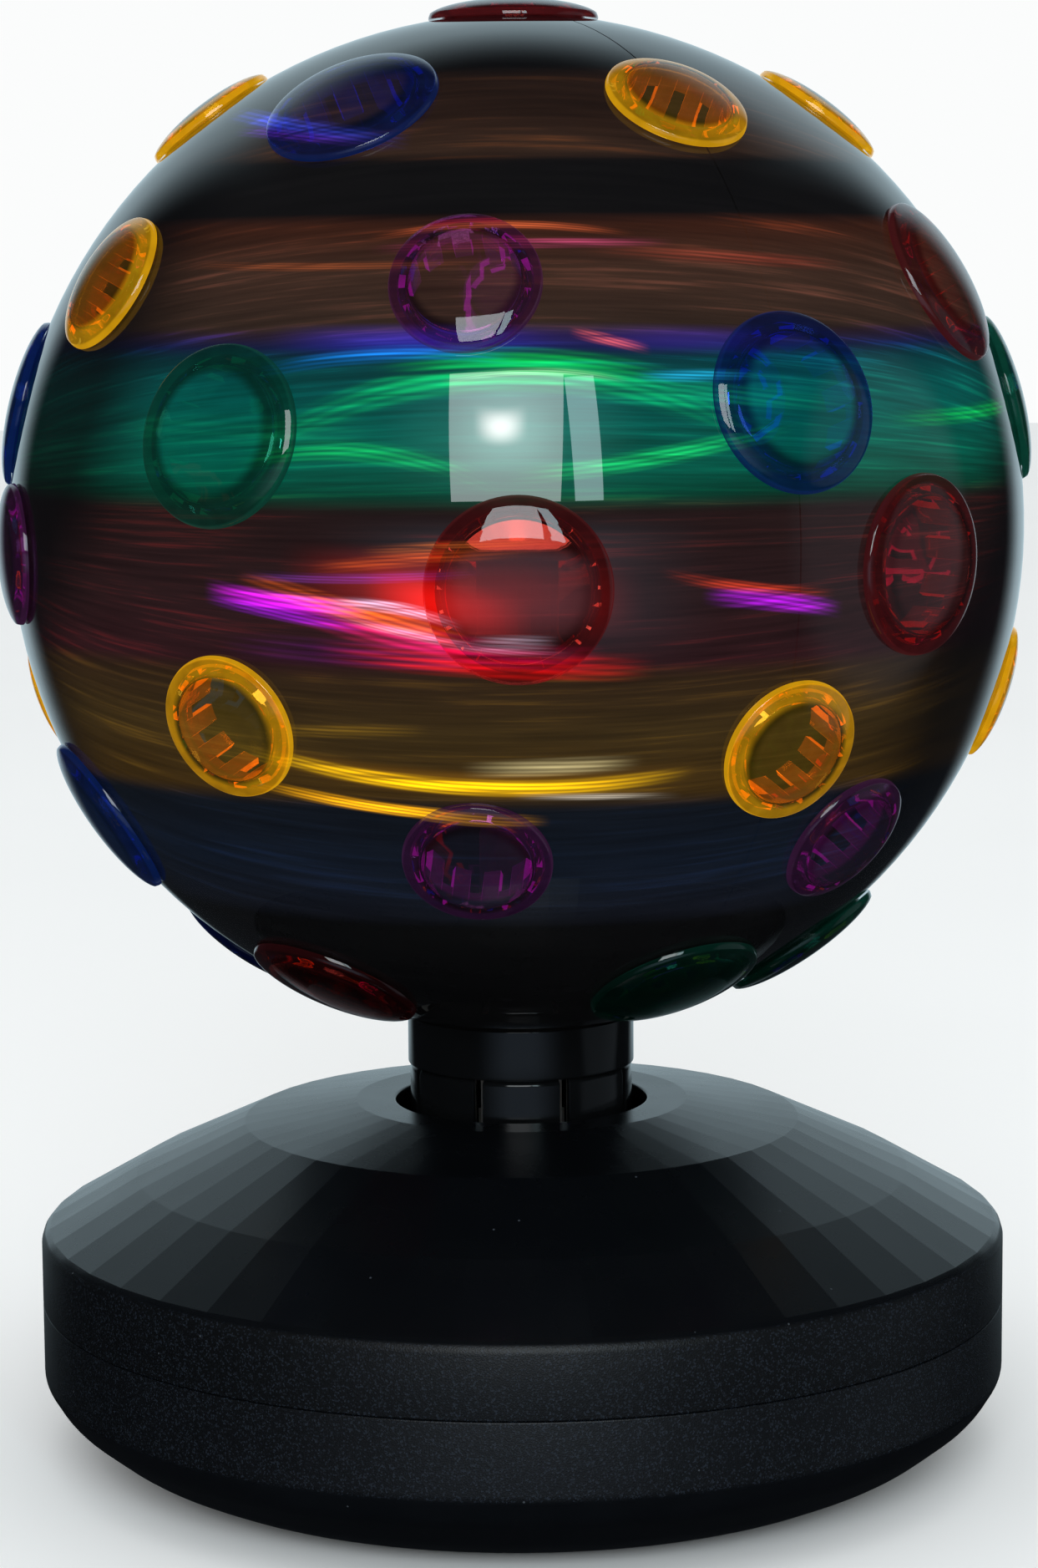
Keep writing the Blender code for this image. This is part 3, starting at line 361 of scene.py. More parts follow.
SWITCH_WINDOW = (14.4 * MM, THROUGH_WALL, 9.4 * MM)
SWITCH_LONGITUDE = -156.0
WIRE_GATE = (9 * MM, 6 * MM, 6 * MM)
WIRE_GATE_Z = 8.4 * MM
ROD_SIDES = 48
ABS_IOR = 1.5
GRAIN = 0.3 * MM
GRAIN_DEPTH = 0.03 * MM
GRAIN_FADE = 0.3 * MM
# painted glint in the grain: how strong it is and its lighter bluish tint
PAINTED_GLINT_SHARE = 0.13
PAINTED_GLINT_TINT = "#3a4c62"
CLOUD = 12 * MM
DUST_CELL = 4.5 * MM
DUST_TINT = "#343a40"


def around(longitude):
    """Turns a piece drawn at the front round to a longitude."""
    return Matrix.Rotation(math.radians(longitude), 4, "Z")


def tipped(degrees):
    """Tips a piece drawn upright about the X axis."""
    return Matrix.Rotation(math.radians(degrees), 4, "X")


def rear_wall(longitude):
    """The frame of a rear fitting: its origin on the tray's outside, and +Y out of the wall."""
    out = BASE_RADIUS * math.cos(math.pi / FACETS)
    return around(longitude + 180.0) @ Matrix.Translation((0, out, FITTING_Z))


def hidden_tool(name, shape):
    """A piece for cutting or joining, from a finished bmesh."""
    mesh = bpy.data.meshes.new(name)
    shape.to_mesh(mesh)
    shape.free()
    return put_in(name, mesh)


def block_of(name, size, place):
    shape = bmesh.new()
    bmesh.ops.create_cube(shape, size=1, matrix=place @ Matrix.Diagonal((*size, 1)))
    return hidden_tool(name, shape)


def rod_of(name, radius, length, place):
    shape = bmesh.new()
    size = {"segments": ROD_SIDES, "radius1": radius, "radius2": radius, "depth": length}
    bmesh.ops.create_cone(shape, cap_ends=True, matrix=place, **size)
    return hidden_tool(name, shape)


def upright_rod(name, radius, low, high, place):
    return rod_of(name, radius, high - low, place @ Matrix.Translation((0, 0, (low + high) / 2)))


def work_with(made, others, operation="DIFFERENCE"):
    """Cuts the other pieces away, or joins them, removes them, and applies all modifiers."""
    for other in others:
        modifier = made.modifiers.new(other.name, "BOOLEAN")
        modifier.operation = operation
        modifier.solver = "EXACT"
        modifier.object = other
    graph = bpy.context.evaluated_depsgraph_get()
    mesh = bpy.data.meshes.new_from_object(made.evaluated_get(graph))
    made.modifiers.clear()
    made.data = mesh
    for other in others:
        bpy.data.objects.remove(other)


def screw_places():
    for number in range(SCREWS):
        turn = around((number + 0.5) * 360.0 / SCREWS)
        yield number, turn @ Matrix.Translation((0, -SCREW_CIRCLE, 0))


def black_abs(name, grain_low, grain_high, colours, polished, grainy, specular):
    """Black ABS. Between two heights it is grained by a spark-eroded tool: the grain is about
    0.2 mm on the real part and is drawn at 0.3 mm so that it shows, and it breaks the highlight
    into a fine sparkle, partly by its bumps and partly by a painted glint, some pits painted a
    lighter blue in the colour. Elsewhere the tool was polished, and a little dust lies on it."""
    material, shader, node = new_finish(name, {"IOR": ABS_IOR, "Specular IOR Level": specular})
    place = node("TexCoord", output="Object")
    height = node("SeparateXYZ", (place,), "Z")
    above = node("MapRange", (height, grain_low - GRAIN_FADE, grain_low + GRAIN_FADE), **EASED)
    below = node("MapRange", (height, grain_high + GRAIN_FADE, grain_high - GRAIN_FADE), **EASED)
    grained = node("Math", (above, below), operation="MULTIPLY")
    pits = node("TexVoronoi", {"Vector": place, "Scale": 1 / GRAIN})
    # Painted glint: a share of the grain's pits, drawn by lot, is painted a lighter blue in the colour.
    drawn_lot = node("SeparateXYZ", (pits.node.outputs["Color"],), "Y")
    painted_glint_pits = node("MapRange", (drawn_lot, 0.7, 0.99), **EASED)
    painted_glints = node("Math", (grained, PAINTED_GLINT_SHARE), operation="MULTIPLY")
    painted_glints = node("Math", (painted_glint_pits, painted_glints), operation="MULTIPLY")
    clouds = node("TexNoise", {"Vector": place, "Scale": 1 / CLOUD, "Detail": 4.0})
    dust = node("TexVoronoi", {"Vector": place, "Scale": 1 / DUST_CELL})
    drawn_lot = node("SeparateXYZ", (dust.node.outputs["Color"],), "X")
    chosen = node("MapRange", (drawn_lot, 0.62, 0.7), **EASED)
    near_middle = node("MapRange", (dust, 0.06, 0.035), **EASED)
    specks = node("Math", (near_middle, chosen), operation="MULTIPLY")
    colour = node("Mix", {0: clouds, 6: colours[0], 7: colours[1]}, **COLOUR_MIX)
    colour = node("Mix", {0: painted_glints, 6: colour, 7: PAINTED_GLINT_TINT}, **COLOUR_MIX)
    colour = node("Mix", {0: specks, 6: colour, 7: DUST_TINT}, **COLOUR_MIX)
    smooth = node("MapRange", (clouds, 0, 1, polished * 0.85, polished * 1.15))
    results = {
        "Base Color": colour,
        "Roughness": node("Mix", {0: grained, 2: smooth, 3: grainy}),
        "Normal": node("Bump", {"Strength": grained, "Distance": GRAIN_DEPTH, "Height": pits}),
    }
    wire(shader, results)
    return material


# radius and height of each point, and the radius of a rounded corner
tray_outline = [
    (POST_BORE, 1.2 * MM),
    (POST_BORE, TRAY_FLOOR_Z),
    (POST_BORE, BOSS_TOP_Z),
    (BOSS_RADIUS, BOSS_TOP_Z, 0.3 * MM),
    (BOSS_RADIUS, TRAY_FLOOR_Z, 0.6 * MM),
    (74.6 * MM, TRAY_FLOOR_Z, 2 * MM),
    (91.4 * MM, 14.2 * MM, 2 * MM),
    (TRAY_INNER, 18.4 * MM, 1 * MM),
    (TRAY_INNER, LIP_TOP_Z),
    (LIP_OUTER, LIP_TOP_Z),
    (LIP_OUTER, SEAM_Z),
    (BASE_RADIUS, SEAM_Z, 0.35 * MM),
    (BASE_RADIUS, GRAIN_FOOT_Z, 1.2 * MM),
    (93.8 * MM, 11.8 * MM, 2.5 * MM),
    (85.0 * MM, 4.8 * MM, 2.5 * MM),
    (77.0 * MM, UNDERSIDE_Z, 1.5 * MM),
    (RING_GROOVE_OUTER, UNDERSIDE_Z),
    (RING_GROOVE_OUTER, RING_GROOVE_TOP),
    (RING_GROOVE_INNER, RING_GROOVE_TOP),
    (RING_GROOVE_INNER, UNDERSIDE_Z),
]
tray = turned("tray_shell", eased(tray_outline))
posts = [upright_rod("tray_floor_plug", PLUG_RADIUS, UNDERSIDE_Z, TRAY_FLOOR_Z, Matrix())]
for number, place in screw_places():
    posts.append(upright_rod(f"screw_post_{number}", SCREW_POST, POST_FOOT_Z, SCREW_POST_TOP_Z, place))
for x, aside, stud_top in STUDS:
    for y in (aside, -aside):
        posts.append(upright_rod("stud", STUD, POST_FOOT_Z, stud_top, Matrix.Translation((x, y, 0))))
work_with(tray, posts, "UNION")
gate_place = Matrix.Translation((-BOSS_RADIUS, 0, WIRE_GATE_Z))
cuts = [
    rod_of("inlet_hole", INLET_HOLE, THROUGH_WALL, rear_wall(INLET_LONGITUDE) @ tipped(90.0)),
    block_of("switch_window", SWITCH_WINDOW, rear_wall(SWITCH_LONGITUDE)),
    block_of("wire_gate", WIRE_GATE, gate_place),
]
for number, place in screw_places():
    cuts.append(upright_rod(f"screw_bore_{number}", SCREW_HOLE, BORE_FOOT_Z, BORE_TOP_Z, place))
    cuts.append(upright_rod(f"counterbore_{number}", COUNTERBORE, BORE_FOOT_Z, COUNTERBORE_Z, place))
work_with(tray, cuts)
shade_round(tray)
blacks = ("#040609", "#080b10")
tray_abs = black_abs("black_abs_spark_eroded", GRAIN_FOOT_Z, SEAM_Z + 1 * MM, blacks, 0.34, 0.44, 0.38)
finish_piece(tray, tray_abs, "base", ["base_tray"])

# Case screws. Four zinc-plated steel pan heads for plastics, driven up from below through the
# tray's posts into the cover's. Each head sits in its counterbore and has a cross recess.
SCREW_HEAD = 2.8 * MM
SCREW_HEAD_HEIGHT = 1.7 * MM
SCREW_HEAD_Z = COUNTERBORE_Z - SCREW_HEAD_HEIGHT
SCREW_SEAT_Z = COUNTERBORE_Z - 0.05 * MM
SCREW_TIP_Z = 34.0 * MM
SCREW_CORE = 1.1 * MM
THREAD_PITCH = 1.0 * MM
THREAD_DEPTH = 0.2 * MM
CROSS_RECESS = (2.9 * MM, 0.7 * MM, 2.0 * MM)


def zinc_plated(name, colours, roughness, along_mm, across_mm):
    """Zinc or nickel plating: a cool, slightly cloudy metal with fine drawn lines that stretch
    its highlights."""
    material, shader, node = new_finish(name, {"Metallic": 1.0})
    scale = (1 / (along_mm * MM), 1 / (along_mm * MM), 1 / (across_mm * MM))
    drawn_out = node("Mapping", {"Vector": node("TexCoord", output="Object"), "Scale": scale})
    lines = node("TexNoise", {"Vector": drawn_out, "Scale": 1.0, "Detail": 3.0})
    results = {
        "Base Color": node("Mix", {0: lines, 6: colours[0], 7: colours[1]}, **COLOUR_MIX),
        "Roughness": node("MapRange", (lines, 0, 1, roughness * 0.7, roughness * 1.3)),
        "Normal": node("Bump", {"Strength": 0.2, "Distance": 0.02 * MM, "Height": lines}),
    }
    wire(shader, results)
    return material


steel = zinc_plated("zinc_plated_steel", ("#8f9296", "#b4b7ba"), 0.32, 3.0, 0.3)
screw_outline = [
    (0, SCREW_HEAD_Z),
    (SCREW_HEAD * 0.55, SCREW_HEAD_Z + 0.1 * MM),
    (SCREW_HEAD, COUNTERBORE_Z - SCREW_HEAD_HEIGHT * 0.45, 0.5 * MM),
    (SCREW_HEAD, SCREW_SEAT_Z),
    (SCREW_CORE, SCREW_SEAT_Z),
]
thread = SCREW_POST_TOP_Z
while thread < SCREW_TIP_Z - 2 * THREAD_PITCH:
    screw_outline += [(SCREW_CORE, thread), (SCREW_CORE + THREAD_DEPTH, thread + THREAD_PITCH / 2)]
    thread += THREAD_PITCH
screw_outline += [(SCREW_CORE, thread), (0, SCREW_TIP_Z)]
screw_outline = eased(screw_outline, False)
for number, place in screw_places():
    screw = turned(f"case_screw_{number + 1}", screw_outline, 32, closed=False, place=place)
    recess = []
    for turn in (0.0, 90.0):
        bit = place @ around(turn) @ Matrix.Translation((0, 0, SCREW_HEAD_Z))
        recess.append(block_of(f"cross_{number}_{turn:.0f}", CROSS_RECESS, bit))
    work_with(screw, recess)
    shade_round(screw)
    finish_piece(screw, steel, "base", [])

# Motor and pinion. A flat synchronous gear motor in a zinc-plated can hangs on two ears between
# the tray's posts; a moulded acetal pinion on its shaft turns the turntable's gear.


def dress(node_name, material):
    """A carried-over solid gets its finish in its own material slots."""
    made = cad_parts[node_name]
    if not made.material_slots:
        made.data.materials.append(material)
    for slot in made.material_slots:
        slot.material = material


waxy = {"Subsurface Weight": 0.1, "Subsurface Scale": 1 * MM}
acetal = moulded("white_acetal_moulded", ("#dcd9cf", "#e9e6de"), 0.42, 8, 0.5, 0.1, waxy)
dress("motor", zinc_plated("zinc_plated_motor_can", ("#83878c", "#a8abae"), 0.38, 9.0, 0.5))
dress("motor_pinion", acetal)

# Driver board. Glass-fibre board with green solder mask over copper tracks, on four studs; it
# carries the choke, the capacitor and the plug for the lamp's lead.
TRACK_CELL = 5 * MM


def solder_mask():
    """Green solder mask, printed over etched copper: brighter tracks 0.8 mm wide stand in square
    cells on a darker, faintly woven ground."""
    material, shader, node = new_finish("green_solder_mask_printed", {"IOR": 1.5, "Coat Weight": 0.3})
    place = node("TexCoord", output="Object")
    cells = {"Scale": 1 / TRACK_CELL, "Mortar Size": 0.08, "Brick Width": 1.0, "Row Height": 0.5}
    tracks = node("TexBrick", {"Vector": place, **cells}, "Fac")
    weave = node("TexNoise", {"Vector": place, "Scale": 1 / (0.6 * MM), "Detail": 1.0})
    ground = node("Mix", {0: weave, 6: "#0b3a1c", 7: "#0f4a24"}, **COLOUR_MIX)
    results = {
        "Base Color": node("Mix", {0: tracks, 6: ground, 7: "#1f7a3c"}, **COLOUR_MIX),
        "Roughness": node("MapRange", (weave, 0, 1, 0.3, 0.45)),
        "Normal": node("Bump", {"Strength": 0.4, "Distance": 0.04 * MM, "Height": tracks}),
    }
    wire(shader, results)
    return material


dress("driver_board", solder_mask())

# Low-voltage inlet. A flanged barrel of black nylon, pushed through the rear wall from outside;
# its nickel pin stands in the bore with its tip below the face.
INLET_FACE = 1.5 * MM
INLET_FLANGE_RADIUS = 5.6 * MM
INLET_FLANGE_FOOT = -0.2 * MM
INLET_RADIUS = 4.2 * MM
INLET_BORE = 3.3 * MM
INLET_BORE_Y = -8.0 * MM
INLET_PIN = 1.0 * MM
INLET_PIN_Y = -3.7 * MM
INLET_FOOT_Y = -13.0 * MM

nylon = moulded("black_nylon_moulded", ("#0b0b0c", "#141415"), 0.36, 4, 0.35, 0.15, {"IOR": 1.53})
nickel = zinc_plated("nickel_plated_brass", ("#a9a59a", "#c9c5ba"), 0.2, 1.0, 0.2)
inlet_outline = [
    (0, INLET_PIN_Y),
    (INLET_PIN, INLET_PIN_Y, 0.4 * MM),
    (INLET_PIN, INLET_BORE_Y),
    (INLET_BORE, INLET_BORE_Y),
    (INLET_BORE, INLET_FACE - 0.5 * MM),
    (INLET_BORE + 0.5 * MM, INLET_FACE - 0.05 * MM),
    (INLET_BORE + 0.9 * MM, INLET_FACE),
    (INLET_FLANGE_RADIUS, INLET_FACE, 0.5 * MM),
    (INLET_FLANGE_RADIUS, INLET_FLANGE_FOOT),
    (INLET_RADIUS, INLET_FLANGE_FOOT),
    (INLET_RADIUS, INLET_FOOT_Y, 0.4 * MM),
    (0, INLET_FOOT_Y),
]
inlet_seat = rear_wall(INLET_LONGITUDE) @ tipped(-90.0)
inlet = turned("inlet_socket", eased(inlet_outline, False), 72, closed=False, place=inlet_seat)
shade_round(inlet)
finish_piece(inlet, nylon, "base", ["dc_inlet"])
inlet.data.materials.append(nickel)
for face in inlet.data.polygons:
    local = inlet_seat.inverted() @ face.center
    if math.hypot(local.x, local.y) <= INLET_PIN + 0.01 * MM and local.z > INLET_BORE_Y - 0.1 * MM:
        face.material_index = 1

# Power switch. A snap-in rocker switch of black nylon: a bezelled box through the rear wall, with
# two brass blades behind, and a rocker with a dished face and raised I and O marks.
BEZEL_Y = 1.2 * MM
BEZEL_BACK_Y = -0.4 * MM
BOX_BACK_Y = -9.8 * MM
CAVITY_Y = -7.8 * MM
BLADE_X = 3.45 * MM
BLADE_TIP_Y = -14.8 * MM
ROCKER_HALF_LENGTH = 5.3 * MM
ROCKER_HALF_HEIGHT = 3.3 * MM
ROCKER_DEPTH = 5.6 * MM
ROCKER_RISE = 1.6 * MM
ROCKER_DIP = 0.9 * MM
ROCKER_PIVOT_Y = -0.2 * MM
ROCKER_THROW = 8.0
# share of the half height, and how far the outline has drawn in there
ROCKER_ROWS = ((-1.0, 0.965), (-0.93, 1.0), (0.93, 1.0), (1.0, 0.965))
MARK_X = 3.1 * MM
MARK_HALF = 1.0 * MM
MARK_LINE = 0.4 * MM
MARK_PROUD = 0.1 * MM
QUARTER_STEPS = 6


def ring_faces(rings, count):
    """The faces of a closed form made of rings of points: an end, the sides and the other end."""
    faces = [tuple(range(count)), tuple(range((rings - 1) * count, rings * count))]
    for ring in range(rings - 1):
        for i in range(count):
            a, b = ring * count + i, ring * count + (i + 1) % count
            faces.append((a, b, b + count, a + count))
    return faces


def lofted(name, loops, place):
    """Rounded rectangles, each given by half width, half height, corner radius and depth, joined
    one to the next and closed at both ends."""
    verts = []
    for width, height, radius, depth in loops:
        for corner, (sx, sz) in enumerate(((1, 1), (-1, 1), (-1, -1), (1, -1))):
            for part in range(QUARTER_STEPS + 1):
                angle = math.pi / 2 * (corner + part / QUARTER_STEPS)
                x = sx * (width - radius) + radius * math.cos(angle)
                z = sz * (height - radius) + radius * math.sin(angle)
                verts.append(place @ Vector((x, depth, z)))
    return new_piece(name, verts, ring_faces(len(loops), len(verts) // len(loops)))


wall = rear_wall(SWITCH_LONGITUDE)
housing_loops = [
    (6.9 * MM, 4.4 * MM, 0.6 * MM, BOX_BACK_Y),
    (6.9 * MM, 4.4 * MM, 0.6 * MM, BEZEL_BACK_Y),
    (8.1 * MM, 5.6 * MM, 1.2 * MM, BEZEL_BACK_Y),
    (8.1 * MM, 5.6 * MM, 1.2 * MM, BEZEL_Y - 0.5 * MM),
    (7.9 * MM, 5.4 * MM, 1.1 * MM, BEZEL_Y - 0.12 * MM),
    (7.6 * MM, 5.1 * MM, 0.9 * MM, BEZEL_Y),
    (6.5 * MM, 4.0 * MM, 0.5 * MM, BEZEL_Y),
    (6.2 * MM, 3.7 * MM, 0.4 * MM, BEZEL_Y - 0.15 * MM),
    (6.1 * MM, 3.6 * MM, 0.4 * MM, BEZEL_Y - 0.5 * MM),
    (6.1 * MM, 3.6 * MM, 0.4 * MM, CAVITY_Y),
]
housing = lofted("switch_box", housing_loops, wall)
shade_round(housing, 40.0)
finish_piece(housing, nylon, "base", ["switch_housing"])
blade_loops = [
    (1.3 * MM, 0.25 * MM, 0.1 * MM, BLADE_TIP_Y),
    (1.5 * MM, 0.4 * MM, 0.15 * MM, BLADE_TIP_Y + 0.6 * MM),
    (1.5 * MM, 0.4 * MM, 0.15 * MM, BOX_BACK_Y + 0.4 * MM),
]
for number, x in enumerate((-BLADE_X, BLADE_X), 1):
    blade = lofted(f"switch_blade_{number}", blade_loops, wall @ Matrix.Translation((x, 0, 0)))
    shade_round(blade)
    finish_piece(blade, nickel, "base", [])

pivot = wall @ Matrix.Translation((0, ROCKER_PIVOT_Y, 0)) @ around(-ROCKER_THROW)
rocker_outline = [
    (-ROCKER_HALF_LENGTH, -ROCKER_DEPTH / 2),
    (0, -ROCKER_DEPTH, 1.5 * MM),
    (ROCKER_HALF_LENGTH, -ROCKER_DEPTH / 2),
    (ROCKER_HALF_LENGTH, ROCKER_RISE, 0.4 * MM),
    (0, ROCKER_RISE - ROCKER_DIP, 3.4 * MM),
    (-ROCKER_HALF_LENGTH, ROCKER_RISE, 0.4 * MM),
]
rocker_outline = eased(rocker_outline)
verts = []
for row, share in ROCKER_ROWS:
    for x, y in rocker_outline:
        verts.append(pivot @ Vector((x * share, y * share, ROCKER_HALF_HEIGHT * row)))
rocker = new_piece("rocker_key", verts, ring_faces(len(ROCKER_ROWS), len(rocker_outline)))
shade_round(rocker, 30.0)
finish_piece(rocker, nylon, "rocker", ["power_switch"])


def mark_seat(end):
    """The frame of a mark on the rocker's sloping face: 1 is the end marked I, -1 the other."""
    slope = math.atan2(ROCKER_DIP, ROCKER_HALF_LENGTH)
    face_y = ROCKER_RISE - ROCKER_DIP + MARK_X * math.tan(slope)
    return pivot @ Matrix.Translation((end * MARK_X, face_y, 0)) @ Matrix.Rotation(end * slope, 4, "Z")


print_white = moulded("white_pad_print", ("#d8d8d4", "#e8e8e4"), 0.5, 2, 0.3, 0.1)
bar_loops = [
    (MARK_LINE / 2, MARK_HALF, 0.08 * MM, -MARK_PROUD),
    (MARK_LINE / 2, MARK_HALF, 0.08 * MM, MARK_PROUD * 0.7),
    (MARK_LINE * 0.4, MARK_HALF * 0.96, 0.06 * MM, MARK_PROUD),
]
ring_outline = [
    (MARK_HALF, -MARK_PROUD),
    (MARK_HALF, MARK_PROUD, 0.04 * MM),
    (MARK_HALF - MARK_LINE, MARK_PROUD, 0.04 * MM),
    (MARK_HALF - MARK_LINE, -MARK_PROUD),
]
mark_on = lofted("mark_on", bar_loops, mark_seat(1))
mark_off = turned("mark_off", eased(ring_outline), 48, place=mark_seat(-1) @ tipped(-90.0))
for mark in (mark_on, mark_off):
    shade_round(mark)
    finish_piece(mark, print_white, "rocker", [])

# Lamp post, board and dome. A white ABS tube stands fixed in the tray's boss and carries, at the
# globe's middle, a round board of chip LEDs under a clear ribbed dome of polycarbonate.
POST_TOP_Z = 182.17 * MM
BOARD_TOP_Z = POST_TOP_Z + 1.9 * MM
CHIPS = 6
CHIP = 2.8 * MM
CHIP_CIRCLE = 9.0 * MM
DOME_FOOT_Z = POST_TOP_Z + 0.3 * MM
DOME_RADIUS = 15.5 * MM
DOME_WALL = 1.2 * MM
DOME_STRAIGHT = 7.0 * MM
DOME_RISE = 21.0 * MM
DOME_BANDS = 16
DOME_RIBS = 24
DOME_RIB_DEPTH = 0.35 * MM
DOME_CROWN = 0.3

dress("lamp_post", moulded("white_abs_moulded", ("#dcdcd8", "#e8e8e5"), 0.34, 15, 0.6, 0.08))
dress("led_board", moulded("white_solder_mask_printed", ("#e6e8e4", "#f0f1ee"), 0.4, 5, 0.6, 0.1))
phosphor, shader, node = new_finish("phosphor_resin_cast", {"Roughness": 0.3, "Emission Strength": 1.6})
grains = node("TexNoise", {"Vector": node("TexCoord", output="Object"), "Scale": 1 / (0.8 * MM)})
results = {
    "Base Color": node("Mix", {0: grains, 6: "#d8c84a", 7: "#ecdc70"}, **COLOUR_MIX),
    "Emission Color": node("Mix", {0: grains, 6: "#fff0d0", 7: "#ffffff"}, **COLOUR_MIX),
}
wire(shader, results)
chip_loops = [
    (CHIP / 2, CHIP / 2, 0.2 * MM, -0.05 * MM),
    (CHIP / 2, CHIP / 2, 0.2 * MM, 0.6 * MM),
    (CHIP * 0.42, CHIP * 0.42, 0.5 * MM, 0.75 * MM),
]
for number in range(CHIPS):
    chip_seat = around(number * 360.0 / CHIPS) @ Matrix.Translation((0, -CHIP_CIRCLE, BOARD_TOP_Z))
    chip = lofted(f"led_chip_{number + 1}", chip_loops, chip_seat @ tipped(90.0))
    shade_round(chip)
    finish_piece(chip, phosphor, "base", [])


def ribbed(radius, height, angle):
    """Pulls the dome's outside in between its ribs, less towards the crown."""
    if radius < DOME_RADIUS * DOME_CROWN:
        return radius, height
    share = min(1.0, radius / DOME_RADIUS)
    return radius - DOME_RIB_DEPTH * share * (0.5 - 0.5 * math.cos(angle * DOME_RIBS)), height


dome_outline = []
for inset, order in ((0, 1), (DOME_WALL, -1)):
    radius, rise = DOME_RADIUS - inset, DOME_RISE - DOME_STRAIGHT - inset
    arc = []
    for band in range(DOME_BANDS + 1):
        angle = math.pi / 2 * band / DOME_BANDS
        arc.append((radius * math.sin(angle), DOME_FOOT_Z + DOME_STRAIGHT + rise * math.cos(angle)))
    arc.append((radius, DOME_FOOT_Z))
    dome_outline += arc[::order]
dome = turned("led_dome_clear", dome_outline, DOME_RIBS * 6, reshape=ribbed, closed=False)
shade_round(dome, 50.0)
# The dome is given a faint warm painted glow, as if lit through by the chips.
glassy = {"Transmission Weight": 1.0, "IOR": 1.58, "Emission Strength": 0.35}
clear, shader, node = new_finish("clear_polycarbonate_painted_glow", glassy)
mist_and_glow = node("TexNoise", {"Vector": node("TexCoord", output="Object"), "Scale": 1 / (4 * MM)})
results = {
    "Base Color": node("Mix", {0: mist_and_glow, 6: "#f2f4f4", 7: "#ffffff"}, **COLOUR_MIX),
    "Emission Color": node("Mix", {0: mist_and_glow, 6: "#fff4e0", 7: "#ffffff"}, **COLOUR_MIX),
    "Roughness": node("MapRange", (mist_and_glow, 0, 1, 0.12, 0.3)),
}
wire(shader, results)
finish_piece(dome, clear, "base", ["led_cover"])

# Turntable. An acetal gear with a tall hub runs round the post on a nylon thrust washer; the
# hub's cup holds the collar's fingers. Both are carried over as they are in the frame.
dress("drive_gear", acetal)
dress("thrust_washer", moulded("natural_nylon_moulded", ("#d8d2bf", "#e6e0cf"), 0.5, 5, 0.5, 0.1))

# Base cover. Black ABS from a polished tool. Three rings of flat facets, 48 to a ring, climb to a
# flat land round the neck's hole; the rim below them is round and grained as the tray is. Four
# posts inside take the case screws.
COVER_EDGE_Z = 46.0 * MM
COVER_INNER = 96.1 * MM
OUTER_RING = 77.97 * MM
OUTER_RING_Z = 57.0 * MM
MIDDLE_RING = 56.03 * MM
MIDDLE_RING_Z = 67.0 * MM
LAND_RADIUS = 33.5 * MM
LAND_Z = 70.8 * MM
HOLE_RADIUS = 25.4 * MM
EDGE_ROUND = 1.6 * MM
SEAM_LINE = 0.08 * MM
COVER_POST = (23.7 * MM, 62.5 * MM)
COVER_BORE = (20 * MM, 57 * MM)
COVER_BORE_RADIUS = 1.3 * MM


def to_facets(radius, height, angle):
    """Pulls a point of the circle in to the flat side of a 48-sided ring, but not on the rim or
    at the neck's hole. Over the edge rounding the pull fades out."""
    facet = 2 * math.pi / FACETS
    flat = math.cos(facet / 2) / math.cos(angle % facet - facet / 2)
    share = min(1.0, max(0.0, (BASE_RADIUS - radius) / EDGE_ROUND))
    if radius <= HOLE_RADIUS + 1 * MM or height < COVER_EDGE_Z - EDGE_ROUND:
        share = 0.0
    return radius * (1 + (flat - 1) * share), height


cover_outline = [
    (HOLE_RADIUS, LAND_Z, 0.5 * MM),
    (LAND_RADIUS, LAND_Z),
    (MIDDLE_RING, MIDDLE_RING_Z),
    (OUTER_RING, OUTER_RING_Z),
    (BASE_RADIUS - EDGE_ROUND, COVER_EDGE_Z + EDGE_ROUND * 0.62),
    (BASE_RADIUS - EDGE_ROUND * 0.55, COVER_EDGE_Z + EDGE_ROUND * 0.22),
    (BASE_RADIUS - EDGE_ROUND * 0.2, COVER_EDGE_Z - EDGE_ROUND * 0.25),
    (BASE_RADIUS, COVER_EDGE_Z - EDGE_ROUND),
    (BASE_RADIUS, SEAM_Z + SEAM_LINE, 0.35 * MM),
    (COVER_INNER, SEAM_Z + SEAM_LINE),
    (COVER_INNER, 44.8 * MM),
    (OUTER_RING, OUTER_RING_Z - 2.9 * MM),
    (MIDDLE_RING, MIDDLE_RING_Z - WALL),
    (LAND_RADIUS, LAND_Z - WALL),
    (HOLE_RADIUS, LAND_Z - WALL),
]
cover = turned("cover_shell", eased(cover_outline), reshape=to_facets)
posts, bores = [], []
for number, place in screw_places():
    posts.append(upright_rod(f"cover_post_{number}", SCREW_POST, *COVER_POST, place))
    bores.append(upright_rod(f"cover_bore_{number}", COVER_BORE_RADIUS, *COVER_BORE, place))
work_with(cover, posts, "UNION")
work_with(cover, bores)
shade_round(cover, 40.0)
for face in cover.data.polygons:
    radius = math.hypot(face.center.x, face.center.y)
    if face.center.z > COVER_EDGE_Z + 0.9 * MM and radius > HOLE_RADIUS + 0.6 * MM:
        face.use_smooth = False
blacks = ("#040609", "#080a0d")
cover_abs = black_abs("black_abs_polished", SEAM_Z - 1 * MM, COVER_EDGE_Z, blacks, 0.27, 0.44, 0.33)
finish_piece(cover, cover_abs, "base", ["base_cover"])

